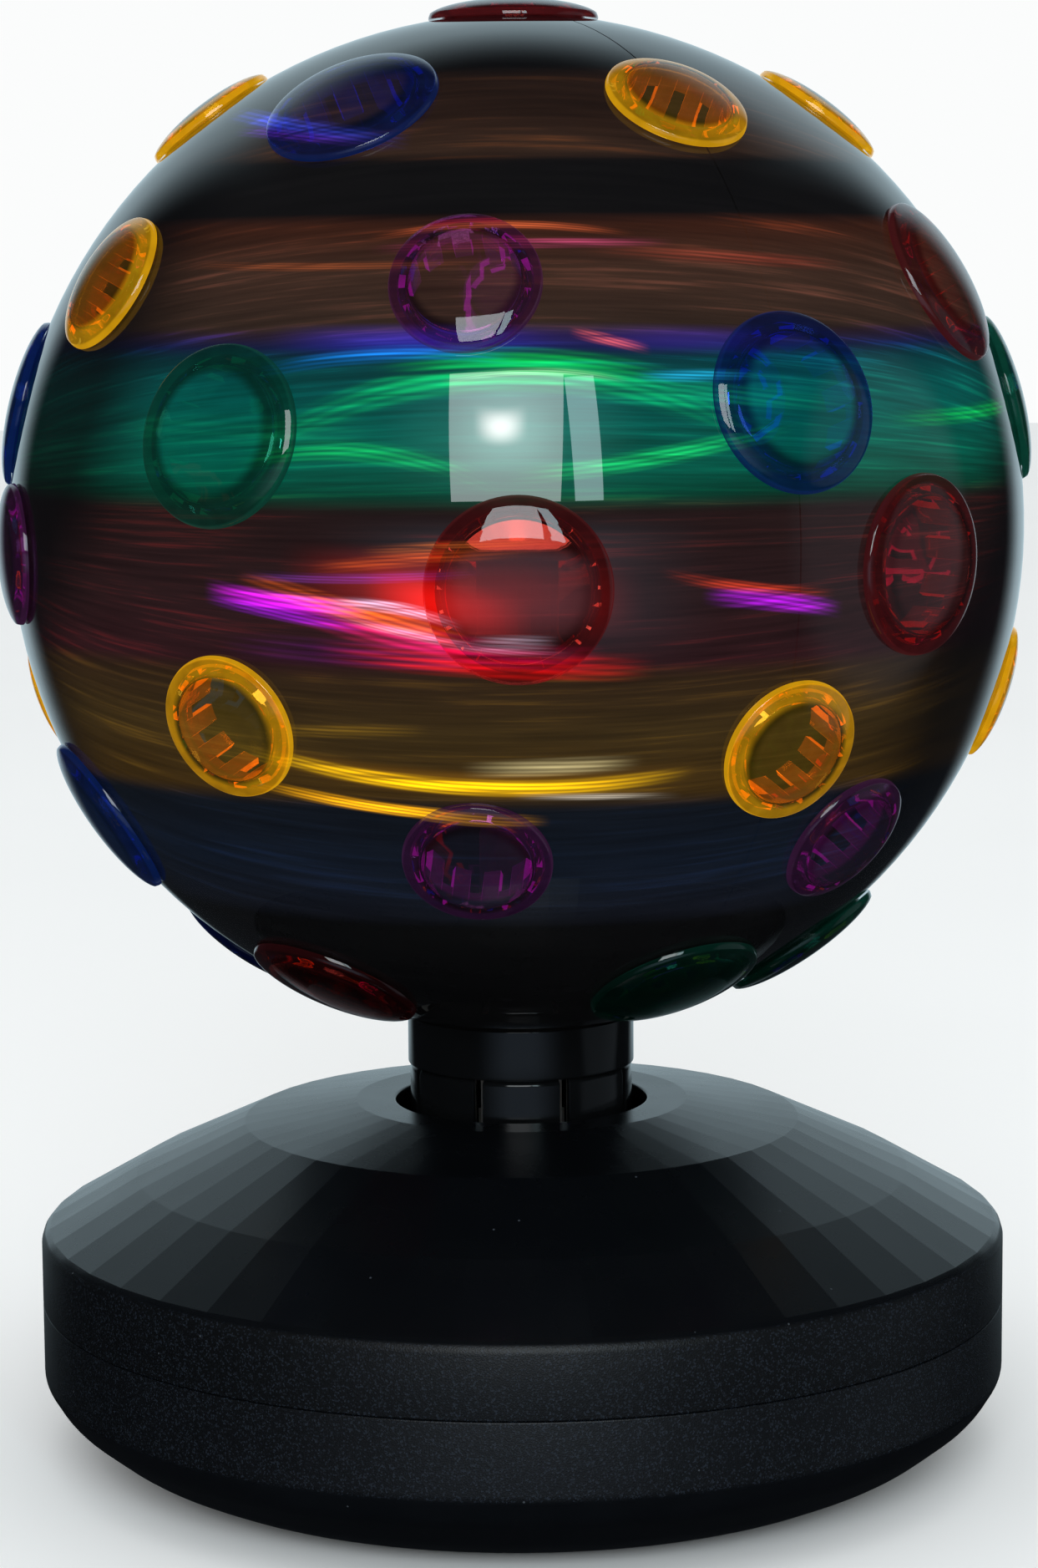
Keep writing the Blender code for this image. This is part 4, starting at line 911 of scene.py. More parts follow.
# Neck collar. Gloss black ABS. A plain band clamps the globe's two half spigots, and eight spring
# fingers below it, a little smaller, drop through the cover and clip into the turntable.
COLLAR_RADIUS = 22.8 * MM
COLLAR_BORE = 21.2 * MM
COLLAR_TOP_Z = 88.5 * MM
COLLAR_Z = 78.5 * MM
COLLAR_LEDGE = 21.8 * MM
FINGER_RADIUS = 22.4 * MM
FINGER_BORE = 20.8 * MM
FINGER_FOOT_Z = 58.5 * MM
CLIP_RADIUS = 23.7 * MM
SPIGOT_STOP = 19.2 * MM
SPIGOT_STOP_Z = 79.7 * MM
FINGERS = 8
FINGER_SLOT = (2 * MM, 9 * MM, 23 * MM)


def gloss_black(name, ripple_mm, roughness):
    """Black ABS straight from a bright tool: wet-looking, with slight sink ripples that bend the
    reflections."""
    material, shader, node = new_finish(name, {"IOR": ABS_IOR, "Specular IOR Level": 0.3})
    place = node("TexCoord", output="Object")
    waves = node("TexNoise", {"Vector": place, "Scale": 1 / (ripple_mm * MM), "Detail": 2.0})
    results = {
        "Base Color": node("Mix", {0: waves, 6: "#060708", 7: "#0b0c0d"}, **COLOUR_MIX),
        "Roughness": node("MapRange", (waves, 0, 1, roughness * 0.7, roughness * 1.3)),
        "Normal": node("Bump", {"Strength": 0.25, "Distance": 0.05 * MM, "Height": waves}),
    }
    wire(shader, results)
    return material


collar_outline = [
    (COLLAR_BORE, COLLAR_TOP_Z - 2.4 * MM),
    (COLLAR_RADIUS, COLLAR_TOP_Z, 0.3 * MM),
    (COLLAR_RADIUS, COLLAR_Z, 0.35 * MM),
    (COLLAR_LEDGE, COLLAR_Z),
    (COLLAR_LEDGE, COLLAR_Z - 0.2 * MM),
    (FINGER_RADIUS, COLLAR_Z - 0.9 * MM, 0.4 * MM),
    (FINGER_RADIUS, 64.8 * MM),
    (CLIP_RADIUS, 64.0 * MM),
    (CLIP_RADIUS, 63.2 * MM),
    (FINGER_RADIUS, 63.2 * MM),
    (FINGER_RADIUS, 60.5 * MM),
    (CLIP_RADIUS, 60.5 * MM),
    (FINGER_RADIUS, FINGER_FOOT_Z),
    (FINGER_BORE, FINGER_FOOT_Z),
    (FINGER_BORE, COLLAR_Z),
    (SPIGOT_STOP, COLLAR_Z),
    (SPIGOT_STOP, SPIGOT_STOP_Z),
    (COLLAR_BORE, SPIGOT_STOP_Z),
]
collar = turned("collar_ring", eased(collar_outline), 128)
slots = []
slot_place = Matrix.Translation((0, -FINGER_RADIUS, FINGER_FOOT_Z + 8.5 * MM))
for finger in range(FINGERS):
    turn = around((finger + 0.5) * 360.0 / FINGERS)
    slots.append(block_of(f"finger_slot_{finger}", FINGER_SLOT, turn @ slot_place))
work_with(collar, slots)
edges = collar.modifiers.new("slot_edges", "BEVEL")
edges.width = 0.22 * MM
edges.segments = 2
edges.limit_method = "ANGLE"
edges.angle_limit = math.radians(50.0)
work_with(collar, [])
shade_round(collar, 40.0)
bright_abs = gloss_black("gloss_black_abs_moulded", 7, 0.10)
finish_piece(collar, bright_abs, "ball", ["neck_collar"])

# Globe. Two half shells of smoke-tinted acrylic, butted along a fine upright seam, with half
# spigots in the collar and a round hole for each lens cap. The lamp inside throws the caps'
# colours on the turning shell, which shows level bands of light drawn out into streaks.
GLOBE_Z = 186.17 * MM
GLOBE_RADIUS = 100 * MM
GLOBE_WALL = 2.2 * MM
GLOBE_BANDS = 64
SEAM_LONGITUDE = 30.0
SEAM_GAP = 0.3 * MM
SEAM_NEAR = 24.0
SPIGOT_RADIUS = 20.9 * MM
SPIGOT_LENGTH = 7.5 * MM
BIG_CAP = 16.6 * MM
SMALL_CAP = 13.6 * MM
CAP_RADII = {"red": BIG_CAP, "blue": BIG_CAP, "green": BIG_CAP, "amber": SMALL_CAP, "magenta": SMALL_CAP}
SKIRT_SHARE = 0.84
HOLE_PLAY = 0.3 * MM
CAP_ROWS = (
    # row, then latitude, longitude and colour of its six caps
    ("a", (53.5, 30.0, "amber"), (53.5, 90.0, "amber"), (53.5, 150.0, "blue"),
     (53.5, 210.0, "magenta"), (53.5, 270.0, "amber"), (53.5, 330.0, "blue")),
    ("b", (28.6, -5.7, "magenta"), (28.6, 65.5, "red"), (28.5, 122.0, "amber"),
     (28.5, 180.0, "magenta"), (28.5, 240.0, "red"), (29.0, 300.9, "amber")),
    ("c", (15.5, 30.7, "blue"), (14.5, 90.0, "green"), (14.5, 150.0, "blue"),
     (14.5, 210.0, "green"), (14.5, 270.0, "blue"), (12.4, 327.2, "green")),
    ("d", (-2.9, 0.1, "red"), (-1.9, 47.4, "red"), (-2.0, 113.0, "magenta"),
     (-2.9, 180.0, "red"), (-2.0, 231.0, "red"), (-1.7, 285.6, "magenta")),
    ("e", (-20.8, 31.3, "amber"), (-19.5, 90.0, "amber"), (-19.5, 150.0, "amber"),
     (-19.5, 210.0, "amber"), (-19.5, 262.0, "amber"), (-17.8, 327.0, "amber")),
    ("f", (-33.3, -5.2, "magenta"), (-33.1, 46.0, "magenta"), (-33.0, 110.0, "blue"),
     (-33.0, 170.0, "magenta"), (-33.0, 230.0, "blue"), (-32.7, 288.4, "blue")),
    ("g", (-57.4, 33.0, "green"), (-55.0, 78.0, "green"), (-57.0, 144.0, "blue"),
     (-57.0, 210.0, "red"), (-57.0, 262.0, "blue"), (-58.3, 317.0, "red")),
)
BANDS = (
    # latitude, colour of the painted light haze, colour of the fine threads in it
    (90.0, "#050506", "#000000"),
    (60.5, "#060606", "#000000"),
    (58.0, "#22150f", "#6b3a10"),
    (50.0, "#2c1c14", "#7a4416"),
    (45.4, "#35241a", "#a35310"),
    (44.0, "#0b0a0a", "#000000"),
    (37.0, "#0b0a0a", "#000000"),
    (35.4, "#3c1e12", "#b2451c"),
    (30.0, "#3c281e", "#a35a48"),
    (23.6, "#33251d", "#8a4a3a"),
    (22.9, "#2a1d2c", "#6a3fd0"),
    (21.6, "#141b40", "#2050d8"),
    (20.4, "#04343c", "#0890b0"),
    (16.0, "#015a54", "#08c078"),
    (9.0, "#015c4a", "#06a860"),
    (6.4, "#013c2c", "#048038"),
    (4.8, "#221312", "#7a1c14"),
    (-4.0, "#291617", "#a01c20"),
    (-10.4, "#2c1316", "#a01a18"),
    (-12.0, "#2e1f10", "#7a5410"),
    (-18.0, "#3a2b11", "#8a6410"),
    (-24.9, "#402d0d", "#a87a10"),
    (-26.6, "#0c121a", "#102a5a"),
    (-34.0, "#0c1420", "#0c2450"),
    (-41.5, "#0e1119", "#0a1c30"),
    (-43.5, "#050505", "#000000"),
    (-90.0, "#030303", "#000000"),
)
TRAILS_AND_WINDOW_SHEEN = (
    # longitude and its half length, latitude, tilt and bend over that length, half width, all in
    # degrees; then colour and strength
    (-1.0, 25.0, 18.7, 0.4, -6.0, 1.6, "#08d868", 0.75),
    (1.0, 15.0, 20.2, -0.4, -1.4, 1.2, "#04c838", 0.72),
    (2.0, 9.0, 19.0, 0.0, -0.9, 0.4, "#b8f0b0", 0.7),
    (19.0, 6.0, 18.4, 0.0, 0.0, 0.6, "#20a8d8", 1.0),
    (22.0, 14.0, 16.4, -1.6, 0.0, 1.0, "#0cb070", 0.7),
    (-16.0, 13.0, 10.9, -0.9, -2.2, 1.0, "#10b048", 0.7),
    (14.0, 14.0, 10.1, 2.2, 0.5, 0.9, "#18d060", 0.9),
    (-30.0, 16.0, 13.0, 0.0, 0.0, 1.6, "#0a8a50", 0.5),
    (60.0, 16.0, 13.5, 0.5, 0.2, 0.9, "#10c030", 0.6),
    (-10.0, 17.0, 22.4, 0.0, 0.0, 2.0, "#2c24c8", 0.42),
    (18.0, 14.0, 22.2, -0.4, 0.0, 1.9, "#3c28a8", 0.3),
    (-14.0, 13.0, 20.9, 0.6, -1.0, 0.8, "#1080e8", 0.8),
    (10.2, 4.0, 22.2, -0.9, 0.0, 0.6, "#f06050", 1.0),
    (-24.2, 8.5, -4.2, -0.8, 0.2, 0.9, "#e010f0", 1.6),
    (-24.4, 8.5, -5.4, -1.3, 0.0, 0.7, "#b010e8", 1.0),
    (-16.3, 12.0, -5.1, -2.9, -0.1, 1.1, "#ff6a10", 1.3),
    (-12.4, 6.5, -4.6, -1.0, -0.6, 0.6, "#ffd8ff", 1.3),
    (-7.9, 15.0, -8.3, -2.4, 1.1, 1.4, "#ff1070", 1.0),
    (-7.0, 12.0, -8.0, -2.0, 0.7, 0.5, "#ffb8e0", 0.7),
    (-0.3, 4.0, -8.0, 0.0, 0.0, 0.7, "#e0c8e0", 1.2),
    (-3.6, 16.0, -10.2, -0.9, 0.2, 1.3, "#e81008", 1.2),
    (-6.0, 17.0, -3.0, -1.0, 0.0, 4.6, "#b81004", 0.62),
    (-7.0, 8.0, -4.4, -1.4, 0.0, 3.2, "#f81404", 1.0),
    (-16.0, 15.0, -9.4, -0.6, 0.0, 1.3, "#60106c", 0.5),
    (-9.2, 11.0, 0.4, 1.0, -0.1, 0.7, "#f06018", 0.8),
    (-6.0, 9.0, 1.6, 0.5, 0.0, 0.5, "#ff8030", 0.7),
    (-16.2, 12.0, -1.7, 0.3, 0.4, 0.5, "#9040c0", 0.6),
    (27.2, 7.5, -4.6, -0.9, -0.2, 0.9, "#c010f0", 1.4),
    (24.5, 9.0, -3.2, -1.2, 0.4, 0.6, "#e04020", 0.8),
    (-6.1, 23.0, -23.8, -1.2, 2.1, 0.85, "#ffc400", 2.2),
    (-6.1, 25.0, -23.4, -1.2, 2.1, 1.9, "#8a5a04", 0.5),
    (-14.5, 16.0, -26.6, -1.8, 0.5, 0.7, "#ffb000", 1.9),
    (3.6, 9.0, -21.5, 0.3, 0.0, 0.9, "#d8c890", 0.7),
    (8.8, 9.0, -25.1, -0.2, 0.0, 0.4, "#c8c0b0", 0.7),
    (-19.2, 9.0, -17.7, 0.2, 0.0, 0.7, "#a07818", 0.6),
    (-1.7, 15.0, 35.4, 0.1, -1.2, 0.5, "#e86838", 0.8),
    (0.9, 17.0, 33.1, 0.3, -0.2, 0.6, "#d84880", 0.7),
    (-22.0, 19.0, 30.6, 0.0, 0.3, 0.5, "#b85828", 0.5),
    (26.0, 17.0, 31.4, -1.0, 0.0, 0.8, "#a03828", 0.5),
    (-39.2, 21.0, 50.4, -2.9, -0.4, 1.2, "#4858ff", 1.2),
    (-35.8, 16.0, 48.5, -1.6, -0.4, 0.9, "#7030d8", 0.8),
    # These last three rows are no streaks of the turning lamp: they paint the window's soft reflection
    # on the front of the globe and a painted highlight in it.
    (-1.6, 2.6, 13.4, 0.0, 0.4, 2.2, "#ffe8e8", 0.75),
    (-1.0, 5.5, 13.0, 0.0, 0.0, 5.5, "#a8dcd4", 0.22),
    (-0.5, 13.0, 12.6, 0.0, 0.0, 8.0, "#60c8b8", 0.12),
)
PLAIN_TRAIL_WIDTH = 1.9
TRAIL_SPREAD = 1.35
TRAIL_TAPER = 0.87
TRAIL_STRANDS = 15.0
STRAND_LEAN = 4.0
STRAND_SHIFT = 2.4
STRAND_CONTRAST = 0.36
STRAND_LEVEL = 0.8
HALF_TURN = (math.radians(95.0), math.radians(-85.0))
LIT_ARC = (math.radians(46.0), math.radians(66.0))
UNLIT = 0.12
ACRYLIC_IOR = 1.49
HALF_TOOL = 2 * GLOBE_RADIUS + 12 * MM
HALF_TOOL_HEIGHT = HALF_TOOL + 20 * MM
HOLE_TOOL = 14 * MM


def on_globe(latitude, longitude):
    """The frame of a cap: its origin at the globe's centre and its Z axis out through the cap."""
    return Matrix.Translation((0, 0, GLOBE_Z)) @ around(longitude) @ tipped(90.0 - latitude)


def cap_places():
    yield "lens_cap_top", 90.0, 0.0, "red"
    for row, *caps in CAP_ROWS:
        for number, (latitude, longitude, colour) in enumerate(caps, 1):
            yield f"lens_cap_{row}{number}", latitude, longitude, colour


def globe_section():
    """The shell's closed section: down the outside, round the spigot, and up the inside."""
    foot = GLOBE_Z - math.sqrt(GLOBE_RADIUS**2 - SPIGOT_RADIUS**2) - SPIGOT_LENGTH
    points = []
    for inset in (0, GLOBE_WALL):
        radius, neck = GLOBE_RADIUS - inset, SPIGOT_RADIUS - inset
        first = math.asin((BIG_CAP * SKIRT_SHARE + HOLE_PLAY) / radius)
        last = math.pi - math.asin(neck / radius)
        line = []
        for band in range(GLOBE_BANDS + 1):
            angle = first + (last - first) * band / GLOBE_BANDS
            line.append((radius * math.sin(angle), GLOBE_Z + radius * math.cos(angle)))
        line.append((neck, foot))
        points += line[::-1] if inset else line
    return points


def true_sphere_normals(mesh):
    """Points the shell's curved faces' normals straight out from the globe's centre."""
    centre = Vector((0, 0, GLOBE_Z))
    mesh.shade_smooth()
    normals = [None] * len(mesh.loops)
    for face in mesh.polygons:
        facing = face.normal.dot((face.center - centre).normalized())
        for index in face.loop_indices:
            away = mesh.vertices[mesh.loops[index].vertex_index].co - centre
            on_shell = away.length > GLOBE_RADIUS - GLOBE_WALL - 0.1 * MM
            curved = on_shell and abs(facing) > 0.85
            normals[index] = away.normalized() * math.copysign(1, facing) if curved else face.normal
    mesh.normals_split_custom_set(normals)


def band_ramp(node, height, column):
    """Colours by latitude across the globe's height, which runs from -1 to 1."""
    ramp = node("ValToRGB", (node("Math", (height, 0.5, 0.5), operation="MULTIPLY_ADD"),))
    stops = ramp.node.color_ramp.elements
    ordered = sorted((math.sin(math.radians(row[0])), row[column]) for row in BANDS)
    while len(stops) > 1:
        stops.remove(stops[0])
    for index, (sine, code) in enumerate(ordered):
        stop = stops[0] if index == 0 else stops.new((sine + 1) / 2)
        stop.position = (sine + 1) / 2
        stop.color = linear(code)
    return ramp


def painted_globe_light():
    """A node group: the light that the turning lamp leaves on the globe, painted as a glow, as
    level bands of haze with fine threads in them, and as single streaks; among the streaks are a
    painted soft reflection of the window and a painted highlight in it. It is cast in two wide
    arcs, front and back alike. The threads are drawn about 1 mm high."""
    group = bpy.data.node_groups.new("painted_globe_light", "ShaderNodeTree")
    group.interface.new_socket("Place", in_out="INPUT", socket_type="NodeSocketVector")
    group.interface.new_socket("Bands", in_out="OUTPUT", socket_type="NodeSocketColor")
    group.interface.new_socket("Trails_and_sheen", in_out="OUTPUT", socket_type="NodeSocketColor")
    node = partial(add_node, group)
    place = group.nodes.new("NodeGroupInput").outputs[0]
    x, y, z = node("SeparateXYZ", (place,)).node.outputs
    height = node("Math", (z, 1 / GLOBE_RADIUS, -GLOBE_Z / GLOBE_RADIUS), operation="MULTIPLY_ADD")
    latitude = node("Math", (height,), operation="ARCSINE")
    front = node("Math", (y, -1.0), operation="MULTIPLY")
    turn = node("Math", (x, front), operation="ARCTAN2")
    turn = node("Math", (turn, *HALF_TURN), operation="WRAP")
    bend = node("MapRange", (height, -0.10, 0.22, -0.07, 0.09))
    square = node("Math", (turn, turn), operation="MULTIPLY")
    drawn = node("Math", (square, bend, height), operation="MULTIPLY_ADD")

    def streaky(round_mm, high_mm, detail):
        """Noise drawn out along the bands."""
        across = node("Math", (x, 1 / (round_mm * MM)), operation="MULTIPLY")
        along = node("Math", (y, 1 / (round_mm * MM)), operation="MULTIPLY")
        up = node("Math", (drawn, GLOBE_RADIUS / (high_mm * MM)), operation="MULTIPLY")
        stretched = node("CombineXYZ", (across, along, up))
        return node("TexNoise", {"Vector": stretched, "Scale": 1.0, "Detail": detail, "Roughness": 0.6})

    fine = streaky(40.0, 1.1, 4.0)
    broad = streaky(55.0, 7.0, 2.0)
    arc_middle = node("MapRange", (height, -0.3, 0.26, -0.15, 0.2), **EASED)
    away = node("Math", (turn, arc_middle), operation="SUBTRACT")
    away = node("Math", (away,), operation="ABSOLUTE")
    lit = node("MapRange", (away, *LIT_ARC, 1.0, UNLIT), **EASED)
    soft = node("Math", (broad, 1.1, 0.18), operation="MULTIPLY_ADD")
    haze = node("MapRange", (fine, 0.3, 0.72), **EASED)
    haze = node("Math", (haze, 0.46, soft), operation="MULTIPLY_ADD")
    haze = node("Math", (haze, lit), operation="MULTIPLY")
    threads = node("Math", (broad, 0.45, fine), operation="MULTIPLY_ADD")
    threads = node("MapRange", (threads, 0.77, 1.08, 0.0, 0.6))
    threads = node("Math", (threads, 1.5), operation="POWER")
    threads = node("Math", (threads, lit), operation="MULTIPLY")
    haze = node("VectorMath", {0: band_ramp(node, height, 1), 3: haze}, operation="SCALE")
    threads = node("VectorMath", {0: band_ramp(node, height, 2), 3: threads}, operation="SCALE")
    bands = node("VectorMath", (haze, threads), operation="ADD")

    ragged = node("Math", (fine, 3.4, -0.85), operation="MULTIPLY_ADD")
    ragged = node("Math", (ragged, 0.05), operation="MAXIMUM")
    trails_and_sheen = (0.0, 0.0, 0.0)
    for number, (east, length, north, tilt, curve, width, code, strength) in enumerate(TRAILS_AND_WINDOW_SHEEN):
        plain = width >= PLAIN_TRAIL_WIDTH
        reach = math.radians(width if plain else width * TRAIL_SPREAD)
        along = node("Math", (turn, 1 / math.radians(length), -east / length), operation="MULTIPLY_ADD")
        line = node("Math", (along, math.radians(curve), math.radians(tilt)), operation="MULTIPLY_ADD")
        line = node("Math", (along, line, math.radians(north)), operation="MULTIPLY_ADD")
        off = node("Math", (latitude, line), operation="SUBTRACT")
        off = node("Math", (off, 1 / reach), operation="MULTIPLY")
        taper = node("Math", (along, TRAIL_TAPER), operation="MULTIPLY")
        fade = 1.0
        for way in (off, taper):
            square = node("Math", (way, way), operation="MULTIPLY")
            edge = node("Math", (1.0, square), operation="SUBTRACT")
            edge = node("Math", (edge, 0.0), operation="MAXIMUM")
            fade = node("Math", (fade, edge), operation="MULTIPLY")
        power = node("Math", (fade, fade), operation="MULTIPLY")
        power = node("Math", (power, strength), operation="MULTIPLY")
        if not plain:
            lean = node("Math", (along, STRAND_LEAN, STRAND_SHIFT * number), operation="MULTIPLY_ADD")
            wave = node("Math", (off, TRAIL_STRANDS, lean), operation="MULTIPLY_ADD")
            wave = node("Math", (wave,), operation="SINE")
            strand = node("Math", (wave, STRAND_CONTRAST, STRAND_LEVEL), operation="MULTIPLY_ADD")
            power = node("Math", (power, strand), operation="MULTIPLY")
            power = node("Math", (power, ragged), operation="MULTIPLY")
        trail = node("VectorMath", {0: linear(code)[:3], 3: power}, operation="SCALE")
        trails_and_sheen = node("VectorMath", (trails_and_sheen, trail), operation="ADD")
    out = group.nodes.new("NodeGroupOutput")
    group.links.new(bands, out.inputs["Bands"])
    group.links.new(trails_and_sheen, out.inputs["Trails_and_sheen"])
    return group


def smoke_acrylic(name, lamp):
    """Smoke-tinted acrylic, polished inside and out. It is near black where no light falls on it
    and mirrors the room sharply. The lamp's light and a soft reflection of the window are painted
    on it as a glow, strong on the outside and little inside."""
    settings = {
        "IOR": ACRYLIC_IOR,
        "Roughness": 0.05,
        "Specular IOR Level": 0.0,
        "Coat Weight": 1.0,
        "Coat IOR": ACRYLIC_IOR,
        "Coat Roughness": 0.012,
        "Emission Strength": 1.0,
    }
    material, shader, node = new_finish(name, settings)
    place = node("TexCoord", output="Object")
    bands, trails_and_sheen = node("Group", {"Place": place}, node_tree=lamp).node.outputs
    glow = node("VectorMath", (bands, trails_and_sheen), operation="ADD")
    away = node("VectorMath", (place, (0, 0, GLOBE_Z)), "Value", operation="DISTANCE")
    outside = (away, GLOBE_RADIUS - 1.2 * MM, GLOBE_RADIUS - 0.8 * MM, 0.12, 1.0)
    outside = node("MapRange", outside, **EASED)
    clouds = node("TexNoise", {"Vector": place, "Scale": 1 / (30 * MM)})
    results = {
        "Emission Color": node("VectorMath", {0: glow, 3: outside}, operation="SCALE"),
        "Base Color": node("Mix", {0: clouds, 6: "#040405", 7: "#09090a"}, **COLOUR_MIX),
    }
    wire(shader, results)
    return material


painted_globe_light_group = painted_globe_light()
shell_finish = smoke_acrylic("smoke_acrylic_polished", painted_globe_light_group)
whole = turned("globe_whole", globe_section())
for side, hand in ((1, "right"), (-1, "left")):
    name = f"globe_shell_{hand}"
    shell = put_in(name, whole.data.copy())
    shell.data.transform(around(SEAM_LONGITUDE + 90.0 + 180.0 / STEPS))
    aside = Matrix.Translation((side * (SEAM_GAP - HALF_TOOL) / 2, 0, GLOBE_Z))
    tool_size = (HALF_TOOL, HALF_TOOL, HALF_TOOL_HEIGHT)
    cutters = [block_of(f"{name}_away", tool_size, around(SEAM_LONGITUDE) @ aside)]
    for cap, latitude, longitude, colour in cap_places():
        away = (longitude - SEAM_LONGITUDE) % 360.0
        near_seam = min(away, abs(away - 180.0), 360.0 - away) < SEAM_NEAR
        if cap == "lens_cap_top" or not ((away < 180.0) == (side > 0) or near_seam):
            continue
        hole = CAP_RADII[colour] * SKIRT_SHARE + HOLE_PLAY
        through = on_globe(latitude, longitude) @ Matrix.Translation((0, 0, GLOBE_RADIUS))
        cutters.append(rod_of(f"{name}_{cap}", hole, HOLE_TOOL, through))
    work_with(shell, cutters)
    true_sphere_normals(shell.data)
    finish_piece(shell, shell_finish, "ball", [f"globe_half_{hand}"])
bpy.data.objects.remove(whole)

# Lens caps. Tinted clear acrylic, one piece each: a shallow lens with a thin flange that lies on
# the globe, and a skirt of spring fingers that snaps into the hole. The light caught in the
# plastic and leaving by the flange and the fingers is painted on them as a glow, and the middle,
# with only a faint painted glow, shows the dark inside.
CAP_RISE = 3.15 * MM
CAP_FULLNESS = 0.6
CAP_LIFT = 0.3 * MM
CAP_EDGE = 0.9 * MM
CAP_SKIN = 1.5 * MM
CAP_SKIRT_LENGTH = 7.0 * MM
CAP_SKIRT_WALL = 1.2 * MM
CAP_LENS_STEPS = 12
CAP_FLANGE_STEPS = 4
CAP_INSIDE_STEPS = 5
CAP_FINGERS = 12
# the columns of a finger and of the notch after it, as shares of one turn round both
FINGER_COLUMNS = (0.0, 0.14, 0.28, 0.42, 0.56)
NOTCH_COLUMNS = (0.57, 0.71, 0.85, 0.99)
NOTCH_DEPTH = 0.8
CAP_TINTS = {
    # tint of the plastic, then the painted glow of the flange, of the fingers and of the middle
    "amber": ("#f0b838", "#906806", "#e07c08", "#2c2203"),
    "magenta": ("#8c4c90", "#1e0a1e", "#b018a4", "#0a0508"),
    "blue": ("#1a2e78", "#040f30", "#0a30c4", "#020b1e"),
    "green": ("#207060", "#04241c", "#086848", "#032019"),
    "red": ("#a83830", "#28080a", "#a81c12", "#0c0404"),
}
CAP_LENS_SHARE = 0.985
CAP_SHOULDER_ROUND = 0.35 * MM
CAP_EDGE_ROUND = 0.15 * MM
DIM_BELOW_Z = (GLOBE_Z - 84 * MM, GLOBE_Z - 58 * MM)
DIMMED = 0.12
BANDS_SEEN = 0.75
TRAILS_AND_SHEEN_SEEN = 0.36


def cap_mesh(colour):
    """A cap in its own frame, with the globe's centre as its origin and the lens up +Z."""
    radius = CAP_RADII[colour]
    skirt = radius * SKIRT_SHARE
    bore = skirt - CAP_SKIRT_WALL
    edge = math.sqrt(GLOBE_RADIUS**2 - radius**2) + CAP_LIFT
    shoulder = edge + CAP_EDGE
    rise = GLOBE_RADIUS + CAP_RISE - shoulder
    foot = GLOBE_RADIUS - GLOBE_WALL - CAP_SKIRT_LENGTH

    def dome(r):
        return shoulder + rise * max(0.0, 1 - (r / radius) ** 2) ** CAP_FULLNESS

    outline = []
    for part in range(CAP_LENS_STEPS + 1):
        r = radius * CAP_LENS_SHARE * math.sin(math.pi / 2 * part / CAP_LENS_STEPS)
        outline.append((r, dome(r)))
    outline += [(radius, shoulder - CAP_SHOULDER_ROUND), (radius, edge + CAP_EDGE_ROUND)]
    for part in range(1, CAP_FLANGE_STEPS + 1):
        r = radius - (radius - skirt) * part / CAP_FLANGE_STEPS
        outline.append((r, math.sqrt(GLOBE_RADIUS**2 - r**2) + CAP_LIFT))
    foot_row = len(outline)
    outline += [(skirt, foot), (bore, foot), (bore, dome(bore) - CAP_SKIN - 0.5 * MM)]
    for part in range(CAP_INSIDE_STEPS + 1):
        r = (bore - 0.4 * MM) * (1 - part / CAP_INSIDE_STEPS)
        outline.append((r, dome(r) - CAP_SKIN))

    verts = []
    for finger in range(CAP_FINGERS):
        for share in FINGER_COLUMNS + NOTCH_COLUMNS:
            angle = 2 * math.pi * (finger + share) / CAP_FINGERS
            for row, (r, z) in enumerate(outline):
                notched = share in NOTCH_COLUMNS and row in (foot_row, foot_row + 1)
                height = foot + CAP_SKIRT_LENGTH * NOTCH_DEPTH if notched else z
                verts.append((r * math.cos(angle), r * math.sin(angle), height))
    rows = len(outline)
    columns = len(FINGER_COLUMNS + NOTCH_COLUMNS)
    notch_sides = (len(FINGER_COLUMNS) - 1, columns - 1)
    faces, lit = [], []
    for column in range(CAP_FINGERS * columns):
        a, b = column * rows, (column + 1) % (CAP_FINGERS * columns) * rows
        for row in range(rows - 1):
            faces.append((a + row, b + row, b + row + 1, a + row + 1))
            # Faces at the fingers' feet and the notches' sides are marked for a brighter painted glow.
            side = column % columns in notch_sides and foot_row - 1 <= row <= foot_row + 1
            lit.append(1.0 if row == foot_row or side else 0.0)
    mesh = bpy.data.meshes.new(f"lens_cap_{colour}")
    mesh.from_pydata(verts, [], faces)
    mesh.attributes.new("finger_edge", "FLOAT", "FACE").data.foreach_set("value", lit)
    clean_up(mesh, slivers=False)
    mesh.shade_smooth()
    mesh.set_sharp_from_angle(angle=math.radians(38.0))
    places = mesh.attributes.new("lens_place", "FLOAT_VECTOR", "POINT")
    places.data.foreach_set("vector", [number for vertex in mesh.vertices for number in vertex.co])
    return mesh


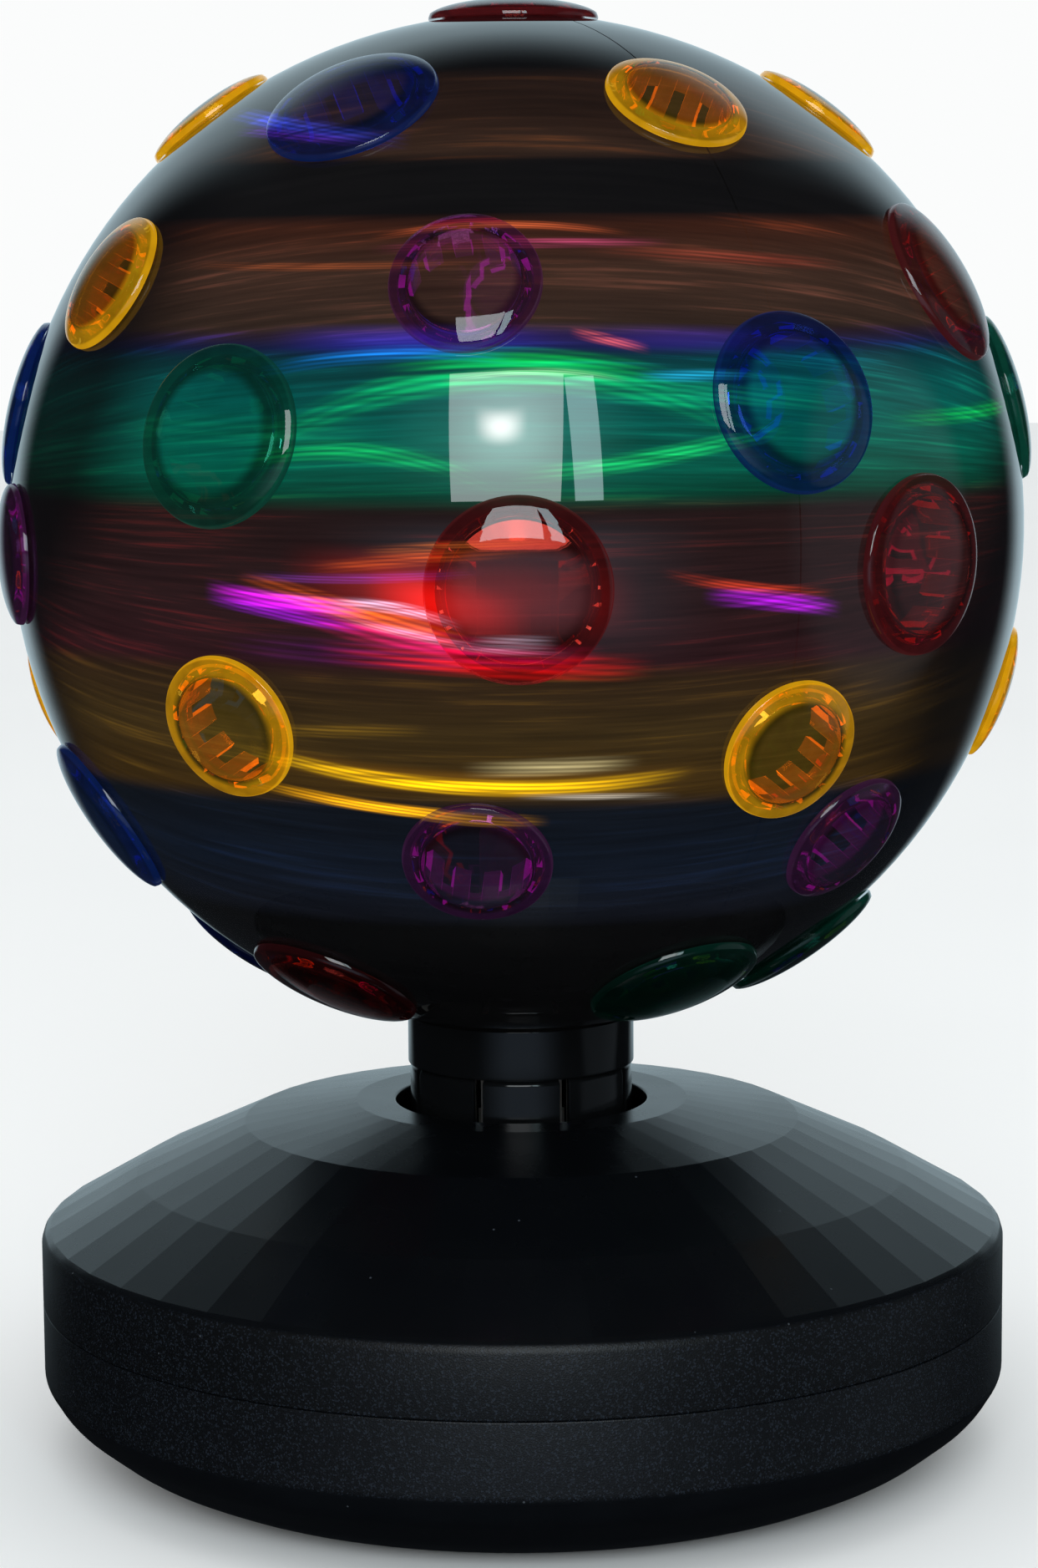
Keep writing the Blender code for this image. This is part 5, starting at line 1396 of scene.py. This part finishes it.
def tinted_acrylic(colour, lamp):
    """Clear acrylic dyed through, with polished faces. The glow is painted: it stands for the lamp's
    light leaving by the flange and the fingers, most at their cut edges, with a painted bright line
    round the lens's outer edge; and the globe's painted bands and streaks, with the window's soft
    reflection, show through the lens. Caps low on the globe get less of it. Only a face's outer
    side glows, so that light trapped in the plastic doesn't build up."""
    tint, flange_glow, finger_glow, middle_glow = CAP_TINTS[colour]
    radius = CAP_RADII[colour]
    settings = {"Roughness": 0.02, "IOR": ACRYLIC_IOR}
    settings |= {"Transmission Weight": 1.0, "Emission Strength": 1.0}
    material, shader, node = new_finish(f"{colour}_acrylic_dyed", settings)
    place = node("TexCoord", output="Object")
    local = node("Attribute", output="Vector", attribute_name="lens_place")
    edge = node("Attribute", output="Fac", attribute_name="finger_edge")
    x, y, z = node("SeparateXYZ", (local,)).node.outputs
    x_square = node("Math", (x, x), operation="MULTIPLY")
    y_square = node("Math", (y, y), operation="MULTIPLY")
    away = node("Math", (x_square, y_square), operation="ADD")
    away = node("Math", (away,), operation="SQRT")
    swirl = {"Vector": place, "Scale": 1 / (5 * MM), "Detail": 3.0, "Distortion": 0.4}
    swirl = node("TexNoise", swirl)

    rim = node("MapRange", (away, radius * 0.7, radius * SKIRT_SHARE), **EASED)
    lens = node("Mix", {0: rim, 6: middle_glow, 7: flange_glow}, **COLOUR_MIX)
    cut = node("Math", (edge, 0.85, 0.15), operation="MULTIPLY_ADD")
    skirt = node("Mix", {0: cut, 6: middle_glow, 7: finger_glow}, **COLOUR_MIX)
    low = node("MapRange", (z, GLOBE_RADIUS - 1.2 * MM, GLOBE_RADIUS - 2.2 * MM), **EASED)
    inside = node("Math", (away, radius * (SKIRT_SHARE + 0.01)), operation="LESS_THAN")
    in_hole = node("Math", (low, inside), operation="MULTIPLY")
    glow = node("Mix", {0: in_hole, 6: lens, 7: skirt}, **COLOUR_MIX)
    # A painted bright line round the lens's outer edge.
    outer = node("MapRange", (away, radius * 0.965, radius * 0.99, 0.0, 0.9), **EASED)
    uneven = node("Math", (swirl, 1.2, 0.4), operation="MULTIPLY_ADD")
    uneven = node("Math", (uneven, outer), operation="ADD")
    glow = node("VectorMath", {0: glow, 3: uneven}, operation="SCALE")

    bands, trails_and_sheen = node("Group", {"Place": place}, node_tree=lamp).node.outputs
    through = node("MapRange", (away, radius * 0.74, radius * 0.6, 0.15, 1.0), **EASED)
    through = node("Math", (through, BANDS_SEEN), operation="MULTIPLY")
    face = node("MapRange", (z, GLOBE_RADIUS - 1 * MM, GLOBE_RADIUS), **EASED)
    for light, share in ((bands, through), (trails_and_sheen, TRAILS_AND_SHEEN_SEEN)):
        seen = node("Math", (face, share), operation="MULTIPLY")
        seen = node("VectorMath", {0: light, 3: seen}, operation="SCALE")
        glow = node("VectorMath", (glow, seen), operation="ADD")
    outward = node("Math", (1.0, node("NewGeometry", output="Backfacing")), operation="SUBTRACT")
    # Caps low on the globe get less painted glow.
    height = node("SeparateXYZ", (place,), "Z")
    lit = node("MapRange", (height, *DIM_BELOW_Z, DIMMED, 1.0), **EASED)
    outward = node("Math", (outward, lit), operation="MULTIPLY")
    veins = node("Math", (swirl, 0.3), operation="MULTIPLY")
    results = {
        "Emission Color": node("VectorMath", {0: glow, 3: outward}, operation="SCALE"),
        "Base Color": node("Mix", {0: veins, 6: tint, 7: finger_glow}, **COLOUR_MIX),
    }
    wire(shader, results)
    return material


cap_meshes = {}
for colour in CAP_TINTS:
    cap_meshes[colour] = cap_mesh(colour)
    cap_meshes[colour].materials.append(tinted_acrylic(colour, painted_globe_light_group))
for name, latitude, longitude, colour in cap_places():
    mesh = cap_meshes[colour].copy()
    mesh.transform(on_globe(latitude, longitude))
    cap = put_in(name.replace("lens_cap", "cap"), mesh)
    finish_piece(cap, None, "ball", [name])
